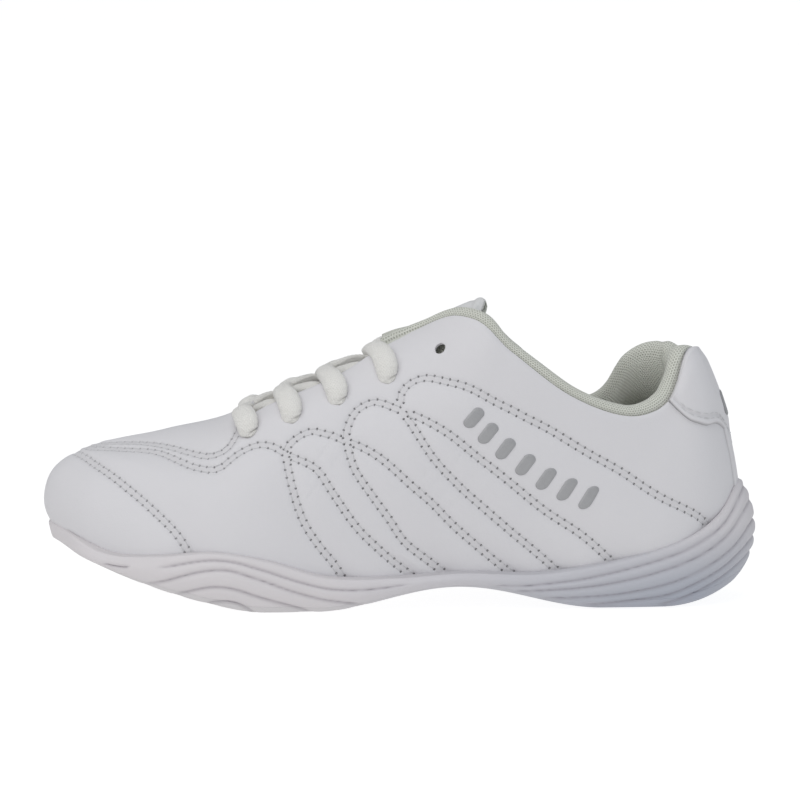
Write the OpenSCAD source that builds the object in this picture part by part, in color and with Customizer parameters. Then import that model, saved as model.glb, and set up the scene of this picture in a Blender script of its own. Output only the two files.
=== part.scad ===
// Low cheer shoe for the left foot, built from the last outwards.
// Toe at -X, heel at +X, outer (lateral) side at -Y, ground at z = 0.

/* [Shoe] */
// Overall length of the shoe
shoe_length = 265; // [220:1:300]
// Thickness of the upper leather
leather = 1.1; // [0.8:0.1:1.2]
// Thickness of the rubber outsole
outsole_t = 2.2; // [1.5:0.1:2.2]

/* [Lacing] */
// Radius of a punched lace hole
eyelet_r = 2.0; // [1.8:0.1:2.4]
// Width of the flat lace
lace_w = 7.5; // [5:0.5:9]
// Thickness of the lace
lace_t = 3.6; // [2:0.2:4.5]

/* [Flex] */
// Station of the crease across the ball of the foot
flex_x = -56; // [-60:1:-52]
// Height of the crease axis above the ground
flex_z = 13.5; // [12:0.5:15]
// Largest toe lift, which sets the notch in the sole wall
flex_angle = 35; // [10:1:40]

/* [Hidden] */

base_length = 265;
size_k = shoe_length / base_length;

// Stations of the last, heel to toe. Each holds the foot of the upper (x, y lateral, y medial, z),
// the top of the upper (x, y lateral, y medial, z lateral, z medial), how far the wall bulges and
// how steeply it leaves the foot (mm, share of height), how the top turns in (mm, share of height),
// and the height of the sole wall.
STATIONS = [
    [125, 0, 0, 12, 110, 0, 0, 96, 96, 6, 0.33, 11, 0.24, 45],
    [117.5, -16.5, 16.5, 12, 107, -10, 10, 95, 95, 5.5, 0.33, 9, 0.24, 33.5],
    [104, -26, 26, 12, 101, -17.5, 17.5, 79, 93.5, 4.5, 0.35, 4, 0.25, 24.5],
    [80, -30, 29, 12, 86, -23.5, 23.5, 71.7, 78.5, 3.5, 0.35, 3, 0.3, 18],
    [52, -31, 26.5, 12, 64, -26, 26, 79, 71.5, 3, 0.35, 4, 0.3, 14],
    [24, -33, 25, 13, 42, -24.5, 24, 95.3, 91, 3, 0.35, 7, 0.25, 14.5],
    [-3, -36.5, 27, 11.5, 27, -19, 19, 107.5, 102.5, 3, 0.38, 10, 0.2, 13],
    [-27, -40.5, 32.5, 9, 0, 0, 0, 99.5, 99.5, 3, 0.45, 20, 0, 13.5],
    [-50, -43, 38, 8.5, -24, 0.5, 0.5, 88.5, 88.5, 3, 0.45, 23, 0, 19.5],
    [-70, -42.5, 41, 9.5, -46, 1, 1, 78.5, 78.5, 3, 0.5, 23, 0, 22.5],
    [-89, -38, 40.5, 12.5, -66, 2, 2, 67.8, 67.8, 3, 0.52, 22, 0.01, 21],
    [-106, -30, 36, 18, -86, 3, 3, 63.2, 63.2, 3.5, 0.55, 19, 0.02, 21],
    [-119, -17.5, 27, 23.5, -101, 4, 4, 60.8, 60.8, 9, 0.5, 18.5, 0.05, 26],
    [-127, 5, 5, 27, -108, 4.5, 4.5, 59.5, 59.5, 13.5, 0.4, 20.5, 0.06, 30.5],
];
toe_u = len(STATIONS) - 1;
ring_n = 2 * toe_u;

// Layers of the upper, as offsets from its outer face
quarter_out = -leather - 0.4;
quarter_in = quarter_out - 0.9;
foam_out = quarter_in - 0.3;
foam_in = foam_out - 1.4;
lining_out = foam_in - 0.3;
lining_in = lining_out - 0.6;
sole_gap = 0.5;

// ---- The last: a closed ring of stations, u along it and t up the wall ----

function wrap(i) = (i % ring_n + ring_n) % ring_n;

function ring_row(i) =
    let (lateral = i <= toe_u, r = STATIONS[lateral ? i : ring_n - i])
    [r[0], lateral ? r[1] : r[2], r[3], r[4], lateral ? r[5] : r[6], lateral ? r[7] : r[8],
     r[9], r[10], r[11], r[12], r[13]];

RING = [for (i = [0:ring_n - 1]) ring_row(i)];

function row(u) =
    let (i = floor(u), f = u - i,
         a = RING[wrap(i - 1)], b = RING[wrap(i)], c = RING[wrap(i + 1)], d = RING[wrap(i + 2)])
    0.5 * (2 * b + (c - a) * f + (2 * a - 5 * b + 4 * c - d) * f * f
           + (3 * b - a - 3 * c + d) * f * f * f);

function plan_normal(u) =
    let (d = row(u + 0.02) - row(u - 0.02), l = norm([d[0], d[1]]))
    [-d[1], d[0], 0] / l;

function surf(u, t) =
    let (r = row(u), n = plan_normal(u), h = r[5] - r[2],
         p0 = [r[0], r[1], r[2]],
         p3 = [r[3], r[4], r[5]],
         p1 = p0 + n * r[6] + [0, 0, r[7] * h],
         p2 = p3 + n * r[8] - [0, 0, r[9] * h],
         s = 1 - t)
    s * s * s * p0 + 3 * s * s * t * p1 + 3 * s * t * t * p2 + t * t * t * p3;

function unit(v) = v / norm(v);

function side_normal(u, t) =
    let (e = 0.02,
         du = surf(u + e, t) - surf(u - e, t),
         dt = surf(u, min(t + e, 1)) - surf(u, t - e))
    unit(cross(dt, du));

// On the closed ridge both sides share one normal, so a sheet across it has no step
function surf_normal(u, t) =
    t > 0.999 && fold(u) >= 7 ? unit(side_normal(u, 0.98) + side_normal(ring_n - u, 0.98))
    : side_normal(u, t);

function at(u, t, off) = surf(u, t) + off * surf_normal(u, t);

function t_at_z(u, z, lo = -0.1, hi = 0.7, n = 14) =
    n == 0 ? (lo + hi) / 2
    : let (m = (lo + hi) / 2) surf(u, m)[2] < z ? t_at_z(u, z, m, hi, n - 1)
    : t_at_z(u, z, lo, m, n - 1);

function mix(a, b, f) = a + (b - a) * f;

// Distance along the ring from the heel, the same on both sides
function fold(u) = let (w = wrap(u)) w <= toe_u ? w : ring_n - w;

// Medial copy of a lateral patch: u runs the other way
function other_side(f) = function (a, b) let (q = f(1 - a, b)) [ring_n - q[0], q[1]];

// ---- Solids from grids of points ----

// A sheet with an outer and an inner grid. With seam, the top edge meets itself and has no rim.
module sheet(outer, inner, seam = false) {
    nu = len(outer) - 1;
    nt = len(outer[0]) - 1;
    m = (nu + 1) * (nt + 1);
    function o(i, j) = i * (nt + 1) + j;
    function n(i, j) = m + o(i, j);
    points = [for (g = [outer, inner]) for (r = g) for (p = r) p];
    faces = [
        for (i = [0:nu - 1]) for (j = [0:nt - 1]) each [
            [o(i, j), o(i + 1, j), o(i + 1, j + 1)],
            [o(i, j), o(i + 1, j + 1), o(i, j + 1)],
            [n(i, j), n(i + 1, j + 1), n(i + 1, j)],
            [n(i, j), n(i, j + 1), n(i + 1, j + 1)]],
        for (i = [0:nu - 1]) each [
            [o(i + 1, 0), o(i, 0), n(i, 0)],
            [o(i + 1, 0), n(i, 0), n(i + 1, 0)]],
        for (i = [0:nu - 1]) if (!seam) each [
            [o(i, nt), o(i + 1, nt), n(i + 1, nt)],
            [o(i, nt), n(i + 1, nt), n(i, nt)]],
        for (j = [0:nt - 1]) each [
            [o(0, j), o(0, j + 1), n(0, j + 1)],
            [o(0, j), n(0, j + 1), n(0, j)],
            [o(nu, j + 1), o(nu, j), n(nu, j)],
            [o(nu, j + 1), n(nu, j), n(nu, j + 1)]]];
    polyhedron(points, faces);
}

// A piece of the upper: patch(a, b) gives [u, t] for a, b from 0 to 1
module panel(patch, nu, nt, out, inn, seam = false) {
    function grid(off) = [for (i = [0:nu]) [for (j = [0:nt])
        let (q = patch(i / nu, j / nt)) at(q[0], q[1], off)]];
    sheet(grid(out), grid(inn), seam);
}

// A closed solid through rings of points, with a floor across the first and last ring
module ring_solid(loops) {
    n = len(loops[0]);
    half = n / 2;
    last = len(loops) - 1;
    function id(k, i) = k * n + i % n;
    faces = [
        for (k = [0:last - 1]) for (i = [0:n - 1]) each [
            [id(k, i), id(k, i + 1), id(k + 1, i + 1)],
            [id(k, i), id(k + 1, i + 1), id(k + 1, i)]],
        for (i = [0:half - 1]) each [
            [id(0, i + 1), id(0, i), id(0, n - i - 1)],
            [id(last, i), id(last, i + 1), id(last, n - i - 1)]],
        for (i = [1:half - 1]) each [
            [id(0, i), id(0, n - i), id(0, n - i - 1)],
            [id(last, i), id(last, n - i - 1), id(last, n - i)]]];
    polyhedron([for (l = loops) for (p = l) p], faces);
}

// ---- Sole ----

sole_step = 0.25;
SOLE_U = [for (i = [0:ring_n / sole_step - 1]) i * sole_step];

// Underside of the sole: toe spring, flat ball, raised arch, flat heel, rounded heel edge
function bottom_z(x) =
    let (toe = max(0, -55 - x), arch = abs(x - 22), heel = max(0, x - 99))
    0.168 * toe + 0.0018 * toe * toe
    + (arch < 54 ? 8.2 * pow(cos(90 * arch / 54), 2) : 0)
    + 0.01 * heel * heel;

// Share of the wall's reach that is left at u: the sole draws in under the toe
function reach_at(u) = 1 - 0.4 * max(0, min(1, (fold(u) - 11.2) / 1.6));

function foot_at(u, out, lift) =
    let (r = row(u), p = [r[0], r[1], 0] + out * (out > 0 ? reach_at(u) : 1) * plan_normal(u))
    [p[0], p[1], bottom_z(p[0]) + lift];

function wall_at(u, share, out) =
    let (r = row(u), z0 = bottom_z(r[0]) + outsole_t, z = mix(z0, r[10], share))
    at(u, t_at_z(u, z), out * reach_at(u));

// Inside of the sole wall, against the upper, from the floor (0) to the wall's top (1)
function inside_at(u, share) =
    at(u, share * t_at_z(u, row(u)[10]), sole_gap);

module outsole() {
    ring_solid([
        [for (u = SOLE_U) foot_at(u, -4, 0)],
        [for (u = SOLE_U) foot_at(u, 1.5, 0.6)],
        [for (u = SOLE_U) foot_at(u, 3.6, outsole_t)],
        [for (u = SOLE_U) foot_at(u, -6, outsole_t)]]);
}

module midsole() {
    ring_solid([
        [for (u = SOLE_U) foot_at(u, -6, outsole_t + 0.4)],
        [for (u = SOLE_U) foot_at(u, 3.6, outsole_t + 0.4)],
        [for (u = SOLE_U) wall_at(u, 0.5, 5)],
        [for (u = SOLE_U) wall_at(u, 1, 3)],
        for (share = [1, 0.7, 0.4, 0]) [for (u = SOLE_U) inside_at(u, share)]]);
}

// Everything behind the crease; the notch above the axis leaves room for the lifted toe
module behind_crease() {
    reach = 200;
    translate([flex_x + 0.2, -reach, -reach])
        cube([2 * reach, 2 * reach, 2 * reach]);
}

module ahead_of_crease() {
    reach = 60;
    lean = reach * tan(flex_angle + 2);
    rotate([90, 0, 0])
        translate([flex_x, flex_z, -reach])
            linear_extrude(2 * reach)
                polygon([[-0.2, -reach], [-0.2, 0], [-0.2 - lean, reach],
                         [-3 * reach, reach], [-3 * reach, -reach]]);
}

// A flat layer over the sole between two stations
module floor_layer(u0, u1, inset, lift, t) {
    steps = 24;
    function corner(u, side, z) =
        let (v = side < 0 ? u : ring_n - u, r = row(v),
             p = [r[0], r[1], 0] - inset * plan_normal(v))
        [p[0], p[1], r[2] + z];
    function line(u, z) = [corner(u, -1, z), corner(u, 1, z)];
    us = [for (i = [0:steps]) mix(u0, u1, i / steps)];
    sheet([for (u = us) line(u, lift + t)], [for (u = us) line(u, lift)]);
}

flex_u = 8.3;
front_u = 12.55;
heel_u = 0.45;
board_t = 1.5;
sock_lift = 0.4 + board_t + 0.3;

module outsole_front() color([0.88, 0.87, 0.87]) fit() intersection() { outsole(); ahead_of_crease(); }
module outsole_rear() color([0.88, 0.87, 0.87]) fit() intersection() { outsole(); behind_crease(); }
module midsole_front() color([0.93, 0.91, 0.91]) fit() intersection() { midsole(); ahead_of_crease(); }
module midsole_rear() color([0.93, 0.91, 0.91]) fit() intersection() { midsole(); behind_crease(); }

module insole_board_front() color([0.8, 0.74, 0.62]) fit() floor_layer(flex_u + 0.06, front_u, 8, 0.4, board_t);
module insole_board_rear() color([0.8, 0.74, 0.62]) fit() floor_layer(heel_u, flex_u - 0.06, 8, 0.4, board_t);
module sockliner_front() color([0.9, 0.9, 0.86]) fit() floor_layer(flex_u + 0.1, front_u, 8, sock_lift, 3);
module sockliner_rear() color([0.9, 0.9, 0.86]) fit() floor_layer(heel_u, flex_u - 0.1, 8, sock_lift, 3);

// ---- Seam lines of the upper, height t against distance from the heel ----

function toe_cap_line(u) =
    lookup(fold(u), [[9.3, 0.02], [9.6, 0.15], [10.4, 0.32], [11, 0.43], [12.5, 0.7], [13, 0.75]]);
function vamp_top_line(u) =
    lookup(fold(u), [[8.3, 0.46], [9.5, 0.47], [10, 0.52], [10.9, 0.68], [13, 0.83]]);
function eyestay_low(u) =
    lookup(fold(u), [[0.9, 0.02], [1.3, 0.22], [3.1, 0.65], [3.6, 0.73], [4.75, 0.75],
                     [5.5, 0.72], [6.4, 0.66], [6.7, 0.57], [7.2, 0.48], [9.3, 0.52]]);
function eyestay_high(u) =
    lookup(fold(u), [[0.4, 0.55], [1, 0.59], [1.5, 0.68], [2.1, 0.92], [2.4, 1], [6.3, 1],
                     [6.6, 0.98], [7, 0.91], [7.3, 0.86], [8, 0.81], [9.3, 0.79]]);
function heel_tab_low(u) =
    lookup(fold(u), [[0, 0.52], [0.4, 0.58], [1, 0.63], [1.5, 0.72], [2, 0.94]]);
function quarter_high(u) =
    lookup(fold(u), [[0.2, 0.5], [1.5, 0.66], [2.4, 0.86], [5.3, 0.86], [6, 0.72], [6.6, 0.6],
                     [8.4, 0.53]]);

// ---- Upper, outer layer ----

module toe_cap() color([0.93, 0.94, 0.95]) fit()
    panel(function (a, b) let (u = mix(9.5, ring_n - 9.5, a)) [u, (toe_cap_line(u) - 0.012) * b],
          30, 6, 0, -leather);

module vamp() color([0.94, 0.95, 0.96]) fit()
    panel(function (a, b)
              let (u0 = mix(6.85, 8.35, b), u = mix(u0, ring_n - u0, a),
                   low = fold(u) < 9.35 ? 0 : toe_cap_line(u) + 0.012)
              [u, mix(low, vamp_top_line(u) - 0.012, b)],
          42, 5, 0, -leather);

module vamp_top() color([0.95, 0.95, 0.96]) fit()
    panel(function (a, b) let (u = mix(9.4, ring_n - 9.4, a)) [u, mix(vamp_top_line(u) + 0.012, 1, b)],
          30, 4, 0, -leather, seam = true);

function eyelet_patch() = [for (k = [0:4]) [9.12 - 0.68 * k, k < 4 ? 0.65 + 0.01 * k : 0.8]];

module eyelet_holes(side) {
    for (q = eyelet_patch()) {
        u = side < 0 ? q[0] : ring_n - q[0];
        n = surf_normal(u, q[1]);
        translate(surf(u, q[1]) - 6 * n)
            rotate([0, acos(n[2]), atan2(n[1], n[0])])
                cylinder(r = eyelet_r, h = 12, $fn = 24);
    }
}

function eyestay_patch() = function (a, b)
    let (u = mix(0.4, 9.3, a)) [u, mix(eyestay_low(u) + 0.01, eyestay_high(u), b)];

module eyestay(side) difference() {
    panel(side < 0 ? eyestay_patch() : other_side(eyestay_patch()), 40, 5, 0, -leather);
    eyelet_holes(side);
}

module eyestay_lateral() color([0.95, 0.96, 0.97]) fit() eyestay(-1);
module eyestay_medial() color([0.95, 0.96, 0.97]) fit() eyestay(1);

function stay_patch() = function (a, b)
    let (u = mix(6.15, 9.25, a)) [u, mix(eyestay_low(u) + 0.1, eyestay_high(u) - 0.02, b)];

module eyelet_stay(side) difference() {
    panel(side < 0 ? stay_patch() : other_side(stay_patch()), 16, 4, quarter_out, quarter_out - 0.6);
    eyelet_holes(side);
}

module eyelet_stay_lateral() color([0.85, 0.85, 0.82]) fit() eyelet_stay(-1);
module eyelet_stay_medial() color([0.85, 0.85, 0.82]) fit() eyelet_stay(1);

// A wedge strap from its point under the eyestay down to the sole
function strap_patch(tip_u, tip_t, foot_a, foot_b, foot_t) = function (a, b)
    [mix(mix(foot_a, foot_b, a), tip_u + 0.1 * (a - 0.5), b), mix(foot_t, tip_t, b)];

module strap(side, patch)
    panel(side < 0 ? patch : other_side(patch), 6, 10, 0, -leather);

front_strap = strap_patch(8.05, 0.45, 5.8, 6.7, 0);
middle_strap = strap_patch(7.2, 0.44, 4.4, 5.3, 0);
rear_strap = strap_patch(6.6, 0.53, 3.1, 3.75, 0.08);

module strap_front_lateral() color([0.95, 0.96, 0.97]) fit() strap(-1, front_strap);
module strap_middle_lateral() color([0.95, 0.96, 0.97]) fit() strap(-1, middle_strap);
module strap_rear_lateral() color([0.95, 0.96, 0.97]) fit() strap(-1, rear_strap);
module strap_front_medial() color([0.95, 0.96, 0.97]) fit() strap(1, front_strap);
module strap_middle_medial() color([0.95, 0.96, 0.97]) fit() strap(1, middle_strap);
module strap_rear_medial() color([0.95, 0.96, 0.97]) fit() strap(1, rear_strap);

module heel_tab() color([0.93, 0.94, 0.95]) fit()
    panel(function (a, b) let (u = mix(-1.95, 1.95, a)) [u, mix(heel_tab_low(u) + 0.012, 1, b)],
          22, 5, 0, -leather);

module backstay() color([0.93, 0.94, 0.95]) fit()
    panel(function (a, b) [mix(-0.34, 0.34, a), mix(0.02, 0.49, b)], 6, 10, 0, -leather);

// ---- Upper, padded base layer ----

function quarter_patch() = function (a, b)
    let (u = mix(0.15, mix(6.95, 8.3, b), a)) [u, quarter_high(u) * b];

module quarter(side)
    panel(side < 0 ? quarter_patch() : other_side(quarter_patch()), 28, 6, quarter_out, quarter_in);

module quarter_lateral() color([0.94, 0.95, 0.96]) fit() quarter(-1);
module quarter_medial() color([0.94, 0.95, 0.96]) fit() quarter(1);

function foam_patch() = function (a, b)
    let (u = mix(2.6, mix(6.8, 8, b), a)) [u, mix(0.04, min(0.7, quarter_high(u) - 0.02), b)];

module quarter_foam(side)
    panel(side < 0 ? foam_patch() : other_side(foam_patch()), 24, 5, foam_out, foam_in);

module quarter_foam_lateral() color([0.98, 0.93, 0.7]) fit() quarter_foam(-1);
module quarter_foam_medial() color([0.98, 0.93, 0.7]) fit() quarter_foam(1);

function lining_high(u) = lookup(fold(u), [[0, 0.72], [5.6, 0.72], [6.3, 0.6], [9.3, 0.6]]);

function lining_patch() = function (a, b)
    let (u = mix(2.55, 9.3, a)) [u, mix(0.04, lining_high(u), b)];

module quarter_lining(side)
    panel(side < 0 ? lining_patch() : other_side(lining_patch()), 24, 5, lining_out, lining_in);

module quarter_lining_lateral() color([0.84, 0.85, 0.8]) fit() quarter_lining(-1);
module quarter_lining_medial() color([0.84, 0.85, 0.8]) fit() quarter_lining(1);

module heel_lining() color([0.84, 0.85, 0.8]) fit()
    panel(function (a, b) [mix(-2.45, 2.45, a), mix(0.04, 0.72, b)], 24, 5, lining_out, lining_in);

module heel_counter() color([0.75, 0.7, 0.6]) fit()
    panel(function (a, b) [mix(-2.45, 2.45, a), mix(0.04, 0.7, b)], 24, 5, foam_out, foam_in);

module toe_puff() color([0.75, 0.7, 0.6]) fit()
    panel(function (a, b) let (u = mix(10.2, ring_n - 10.2, a)) [u, mix(0.04, toe_cap_line(u) + 0.06, b)],
          26, 4, quarter_out, quarter_out - 0.8);

module vamp_lining() color([0.84, 0.85, 0.8]) fit()
    panel(function (a, b) [mix(9.45, ring_n - 9.45, a), mix(0.05, 1, b)],
          28, 6, foam_out, foam_out - 0.6, seam = true);

// ---- Collar ----

collar_reach = 5.5;
collar_foam_in = foam_out - 4;

module collar_foam() color([0.98, 0.93, 0.7]) fit()
    panel(function (a, b) [mix(-collar_reach, collar_reach, a), mix(0.76, 0.97, b)],
          44, 3, foam_out, collar_foam_in);

module collar_lining() color([0.82, 0.84, 0.77]) fit()
    panel(function (a, b) [mix(-collar_reach, collar_reach, a), mix(0.745, 0.98, b)],
          44, 3, collar_foam_in - 0.3, collar_foam_in - 0.9);

// ---- Tongue ----

tongue_out = quarter_out - 0.6 - 0.5;

// Across the throat, under the eyestays: from the lateral edge over the ridge to the medial edge
function throat_patch(u0, u1, edge) = function (a, b)
    let (u = mix(u0, u1, a)) b <= 0.5 ? [u, mix(edge, 1, 2 * b)] : [ring_n - u, mix(1, edge, 2 * b - 1)];

module tongue_layer(out, inn)
    panel(throat_patch(7.1, 9.35, 0.7), 11, 8, out, inn);

module tongue_leather() color([0.92, 0.92, 0.9]) fit() tongue_layer(tongue_out, tongue_out - 1);
module tongue_foam() color([0.98, 0.93, 0.7]) fit() tongue_layer(tongue_out - 1.3, tongue_out - 4.3);
module tongue_lining() color([0.84, 0.85, 0.8]) fit() tongue_layer(tongue_out - 4.6, tongue_out - 5.2);

tongue_root = [0, 94.5];
tongue_tip = [33, 111];

// Free end of the tongue: a crowned flap between root and tip
function flap_at(a, b, off) =
    let (d = tongue_tip - tongue_root, n = [-d[1], d[0]] / norm(d),
         c = tongue_root + a * d + n * (2.5 * sin(180 * a) + off),
         w = min(11, 4 + 13.5 * a * a), s = 1 - 2 * b)
    [c[0] - 0.1 * off * s * s, -w * s, c[1] - 4 * s * s - 2 * a * a * s * s];

module flap(out, inn)
    let (n = 8, m = 6)
    sheet([for (i = [n:-1:0]) [for (j = [0:m]) flap_at(0.06 + 0.94 * i / n, j / m, out)]],
          [for (i = [n:-1:0]) [for (j = [0:m]) flap_at(0.06 + 0.94 * i / n, j / m, inn)]]);

module tongue_top() color([0.94, 0.95, 0.95]) fit() flap(0, -1.2);
module tongue_top_lining() color([0.84, 0.85, 0.8]) fit() flap(-1.5, -4.5);

// ---- Lace ----

// One crossing from hole to hole, whose crest over the tongue lies nearer the toe
module lace_crossing(q) {
    half_u = lace_w / 56;
    lean = 0.36;
    panel(function (a, b)
              let (rise = 1 - abs(2 * b - 1), u = q[0] + lean * rise + half_u * (2 * a - 1))
              [b <= 0.5 ? u : ring_n - u, mix(q[1], 1, rise)],
          2, 14, 0.4 + lace_t, 0.4);
}

module lace_stubs() {
    for (q = eyelet_patch(), side = [-1, 1])
        if (q[0] > 6.6) {
            u = side < 0 ? q[0] : ring_n - q[0];
            n = surf_normal(u, q[1] + 0.02);
            m = surf_normal(u, q[1]);
            translate(surf(u, q[1]) - 2.4 * m)
                rotate([0, acos(m[2]), atan2(m[1], m[0])])
                    cylinder(r = eyelet_r - 0.5, h = 4.6, $fn = 24);
        }
}

module lace() color([0.9, 0.9, 0.88]) fit()
    union() {
        for (k = [0:3])
            lace_crossing(eyelet_patch()[k]);
        lace_stubs();
    }

// ---- Marks ----

dash_count = 7;
dash_half_u = 0.085;
dash_half_t = 0.035;
dash_low = 0.1;
dash_high = 0.5;

// A row of plain raised dashes along the padded side
module side_mark(side) {
    for (k = [0:dash_count - 1]) {
        c = (k + 0.5) / dash_count;
        patch = function (a, b)
            [mix(3.32, 5.62, c) + dash_half_u * (2 * a - 1), mix(0.455, 0.625, c) + dash_half_t * (2 * b - 1)];
        panel(side < 0 ? patch : other_side(patch), 2, 2, quarter_out + dash_high, quarter_out + dash_low);
    }
}

module side_mark_lateral() color([0.6, 0.62, 0.64]) fit() side_mark(-1);
module side_mark_medial() color([0.6, 0.62, 0.64]) fit() side_mark(1);

module heel_mark() color([0.6, 0.62, 0.64]) fit()
    panel(function (a, b) [mix(-0.35, 0.35, a), mix(0.64, 0.74, b)], 6, 3, 0.5, 0.1);

module fit() scale(size_k) children();

outsole_front();
outsole_rear();
midsole_front();
midsole_rear();
insole_board_front();
insole_board_rear();
sockliner_front();
sockliner_rear();
toe_cap();
toe_puff();
vamp();
vamp_top();
vamp_lining();
eyestay_lateral();
eyestay_medial();
eyelet_stay_lateral();
eyelet_stay_medial();
strap_front_lateral();
strap_middle_lateral();
strap_rear_lateral();
strap_front_medial();
strap_middle_medial();
strap_rear_medial();
quarter_lateral();
quarter_medial();
quarter_foam_lateral();
quarter_foam_medial();
quarter_lining_lateral();
quarter_lining_medial();
heel_lining();
heel_counter();
heel_tab();
backstay();
collar_foam();
collar_lining();
tongue_leather();
tongue_foam();
tongue_lining();
tongue_top();
tongue_top_lining();
lace();
side_mark_lateral();
side_mark_medial();
heel_mark();
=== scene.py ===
"""Looks for the cheer shoe: leather skin, padded collar, tongue, laces and wave-moulded sole.

Every piece is built on one foot form in ring coordinates. u runs round the shoe: 0 at the heel, along the
outer side to the toe, and back along the inner side. t runs up the wall, from its foot (0) to its top (1).
Lengths are millimetres of the base shoe until a mesh is made.
"""
import math

import bmesh
import bpy
import numpy as np
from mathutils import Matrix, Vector
from mathutils.geometry import delaunay_2d_cdt
from mathutils.kdtree import KDTree


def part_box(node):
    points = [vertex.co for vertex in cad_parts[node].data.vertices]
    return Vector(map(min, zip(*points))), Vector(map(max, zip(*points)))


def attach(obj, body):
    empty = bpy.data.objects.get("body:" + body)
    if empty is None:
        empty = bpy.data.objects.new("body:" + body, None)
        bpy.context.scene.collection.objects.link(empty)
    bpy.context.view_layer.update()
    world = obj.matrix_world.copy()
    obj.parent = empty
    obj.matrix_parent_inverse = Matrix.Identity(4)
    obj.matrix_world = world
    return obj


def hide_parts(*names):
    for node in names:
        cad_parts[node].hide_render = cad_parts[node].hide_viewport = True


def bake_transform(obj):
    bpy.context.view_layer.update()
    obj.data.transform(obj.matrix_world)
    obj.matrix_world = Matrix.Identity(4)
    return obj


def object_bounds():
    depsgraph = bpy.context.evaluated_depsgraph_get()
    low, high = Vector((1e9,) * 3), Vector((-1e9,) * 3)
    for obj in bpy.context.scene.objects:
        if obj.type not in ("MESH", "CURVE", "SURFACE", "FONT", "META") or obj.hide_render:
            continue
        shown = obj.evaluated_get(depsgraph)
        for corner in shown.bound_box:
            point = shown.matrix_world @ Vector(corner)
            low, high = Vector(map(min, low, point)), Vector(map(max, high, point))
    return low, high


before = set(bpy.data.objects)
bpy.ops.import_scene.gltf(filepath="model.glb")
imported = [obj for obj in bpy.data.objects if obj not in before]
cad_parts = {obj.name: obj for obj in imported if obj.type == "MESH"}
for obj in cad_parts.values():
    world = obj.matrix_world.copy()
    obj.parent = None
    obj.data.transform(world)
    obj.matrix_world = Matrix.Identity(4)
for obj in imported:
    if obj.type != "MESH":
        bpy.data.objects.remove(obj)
CAD_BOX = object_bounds()

BASE_SPAN = 263.7               # length of the base shoe; the frame's own length sets the scale
MM = (CAD_BOX[1].x - CAD_BOX[0].x) / BASE_SPAN


# ---- Small helpers ----

def unit(v):
    return v / np.maximum(np.linalg.norm(v, axis=-1, keepdims=True), 1e-12)


def mix(a, b, f):
    return a + (b - a) * f


def smooth(x, low, high):
    x = np.clip((x - low) / (high - low), 0, 1)
    return x * x * (3 - 2 * x)


def bell(x, width):
    return np.exp(-((x / width) ** 2))


def rounded(x, radius):
    """Height of a rounded edge, 0 at the edge (x = 0) and 1 from the radius on."""
    return np.sqrt(np.clip(1 - (1 - np.clip(x / radius, 0, 1)) ** 2, 0, 1))


def wave(x, pitch):
    return np.sin(x * 2 * math.pi / pitch)


def between(x, table):
    """Reads a table of (x, value) rows at x."""
    xs, values = np.array(table, float).T
    return np.interp(x, xs, values)


def catmull(a, b, c, d, f):
    """Catmull-Rom curve from b (f = 0) to c (f = 1), with neighbours a and d."""
    return 0.5 * (2 * b + (c - a) * f + (2 * a - 5 * b + 4 * c - d) * f**2 + (3 * b - a - 3 * c + d) * f**3)


def run_length(points):
    """Distance along a path to each of its points."""
    return np.concatenate([[0], np.cumsum(np.linalg.norm(np.diff(points, axis=0), axis=1))])


def turns(n):
    return np.arange(n) * 2 * math.pi / n


def grid(nu, nt, first_a=0, first_b=0):
    """Two square arrays, a by rows and b by columns, each running up to 1."""
    return np.meshgrid(np.linspace(first_a, 1, nu), np.linspace(first_b, 1, nt), indexing="ij")


# ---- Foot form ----

# Stations, heel to toe, as in the CAD source: foot of the upper (x, y lateral, y medial, z), top of the upper
# (x, y lateral, y medial, z lateral, z medial), bulge (mm, share of height), turn-in (mm, share of height),
# and height of the sole wall
STATIONS = [
    [125, 0, 0, 12, 110, 0, 0, 96, 96, 6, 0.33, 11, 0.24, 45],
    [117.5, -16.5, 16.5, 12, 107, -10, 10, 95, 95, 5.5, 0.33, 9, 0.24, 33.5],
    [104, -26, 26, 12, 101, -17.5, 17.5, 79, 93.5, 4.5, 0.35, 4, 0.25, 24.5],
    [80, -30, 29, 12, 86, -23.5, 23.5, 71.7, 78.5, 3.5, 0.35, 3, 0.3, 18],
    [52, -31, 26.5, 12, 64, -26, 26, 79, 71.5, 3, 0.35, 4, 0.3, 14],
    [24, -33, 25, 13, 42, -24.5, 24, 95.3, 91, 3, 0.35, 7, 0.25, 14.5],
    [-3, -36.5, 27, 11.5, 27, -19, 19, 107.5, 102.5, 3, 0.38, 10, 0.2, 13],
    [-27, -40.5, 32.5, 9, 0, 0, 0, 99.5, 99.5, 3, 0.45, 20, 0, 13.5],
    [-50, -43, 38, 8.5, -24, 0.5, 0.5, 88.5, 88.5, 3, 0.45, 23, 0, 19.5],
    [-70, -42.5, 41, 9.5, -46, 1, 1, 78.5, 78.5, 3, 0.5, 23, 0, 22.5],
    [-89, -38, 40.5, 12.5, -66, 2, 2, 67.8, 67.8, 3, 0.52, 22, 0.01, 21],
    [-106, -30, 36, 18, -86, 3, 3, 63.2, 63.2, 3.5, 0.55, 19, 0.02, 21],
    [-119, -17.5, 27, 23.5, -101, 4, 4, 60.8, 60.8, 9, 0.5, 18.5, 0.05, 26],
    [-127, 5, 5, 27, -108, 4.5, 4.5, 59.5, 59.5, 13.5, 0.4, 20.5, 0.06, 30.5],
]
TOE_U = len(STATIONS) - 1
RING_N = 2 * TOE_U
RIDGE_U = 7                     # from here to the toe the two sides meet on top
NEAR_TOP = 0.985                # t just under the ridge, where the side's own normal still holds
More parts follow.
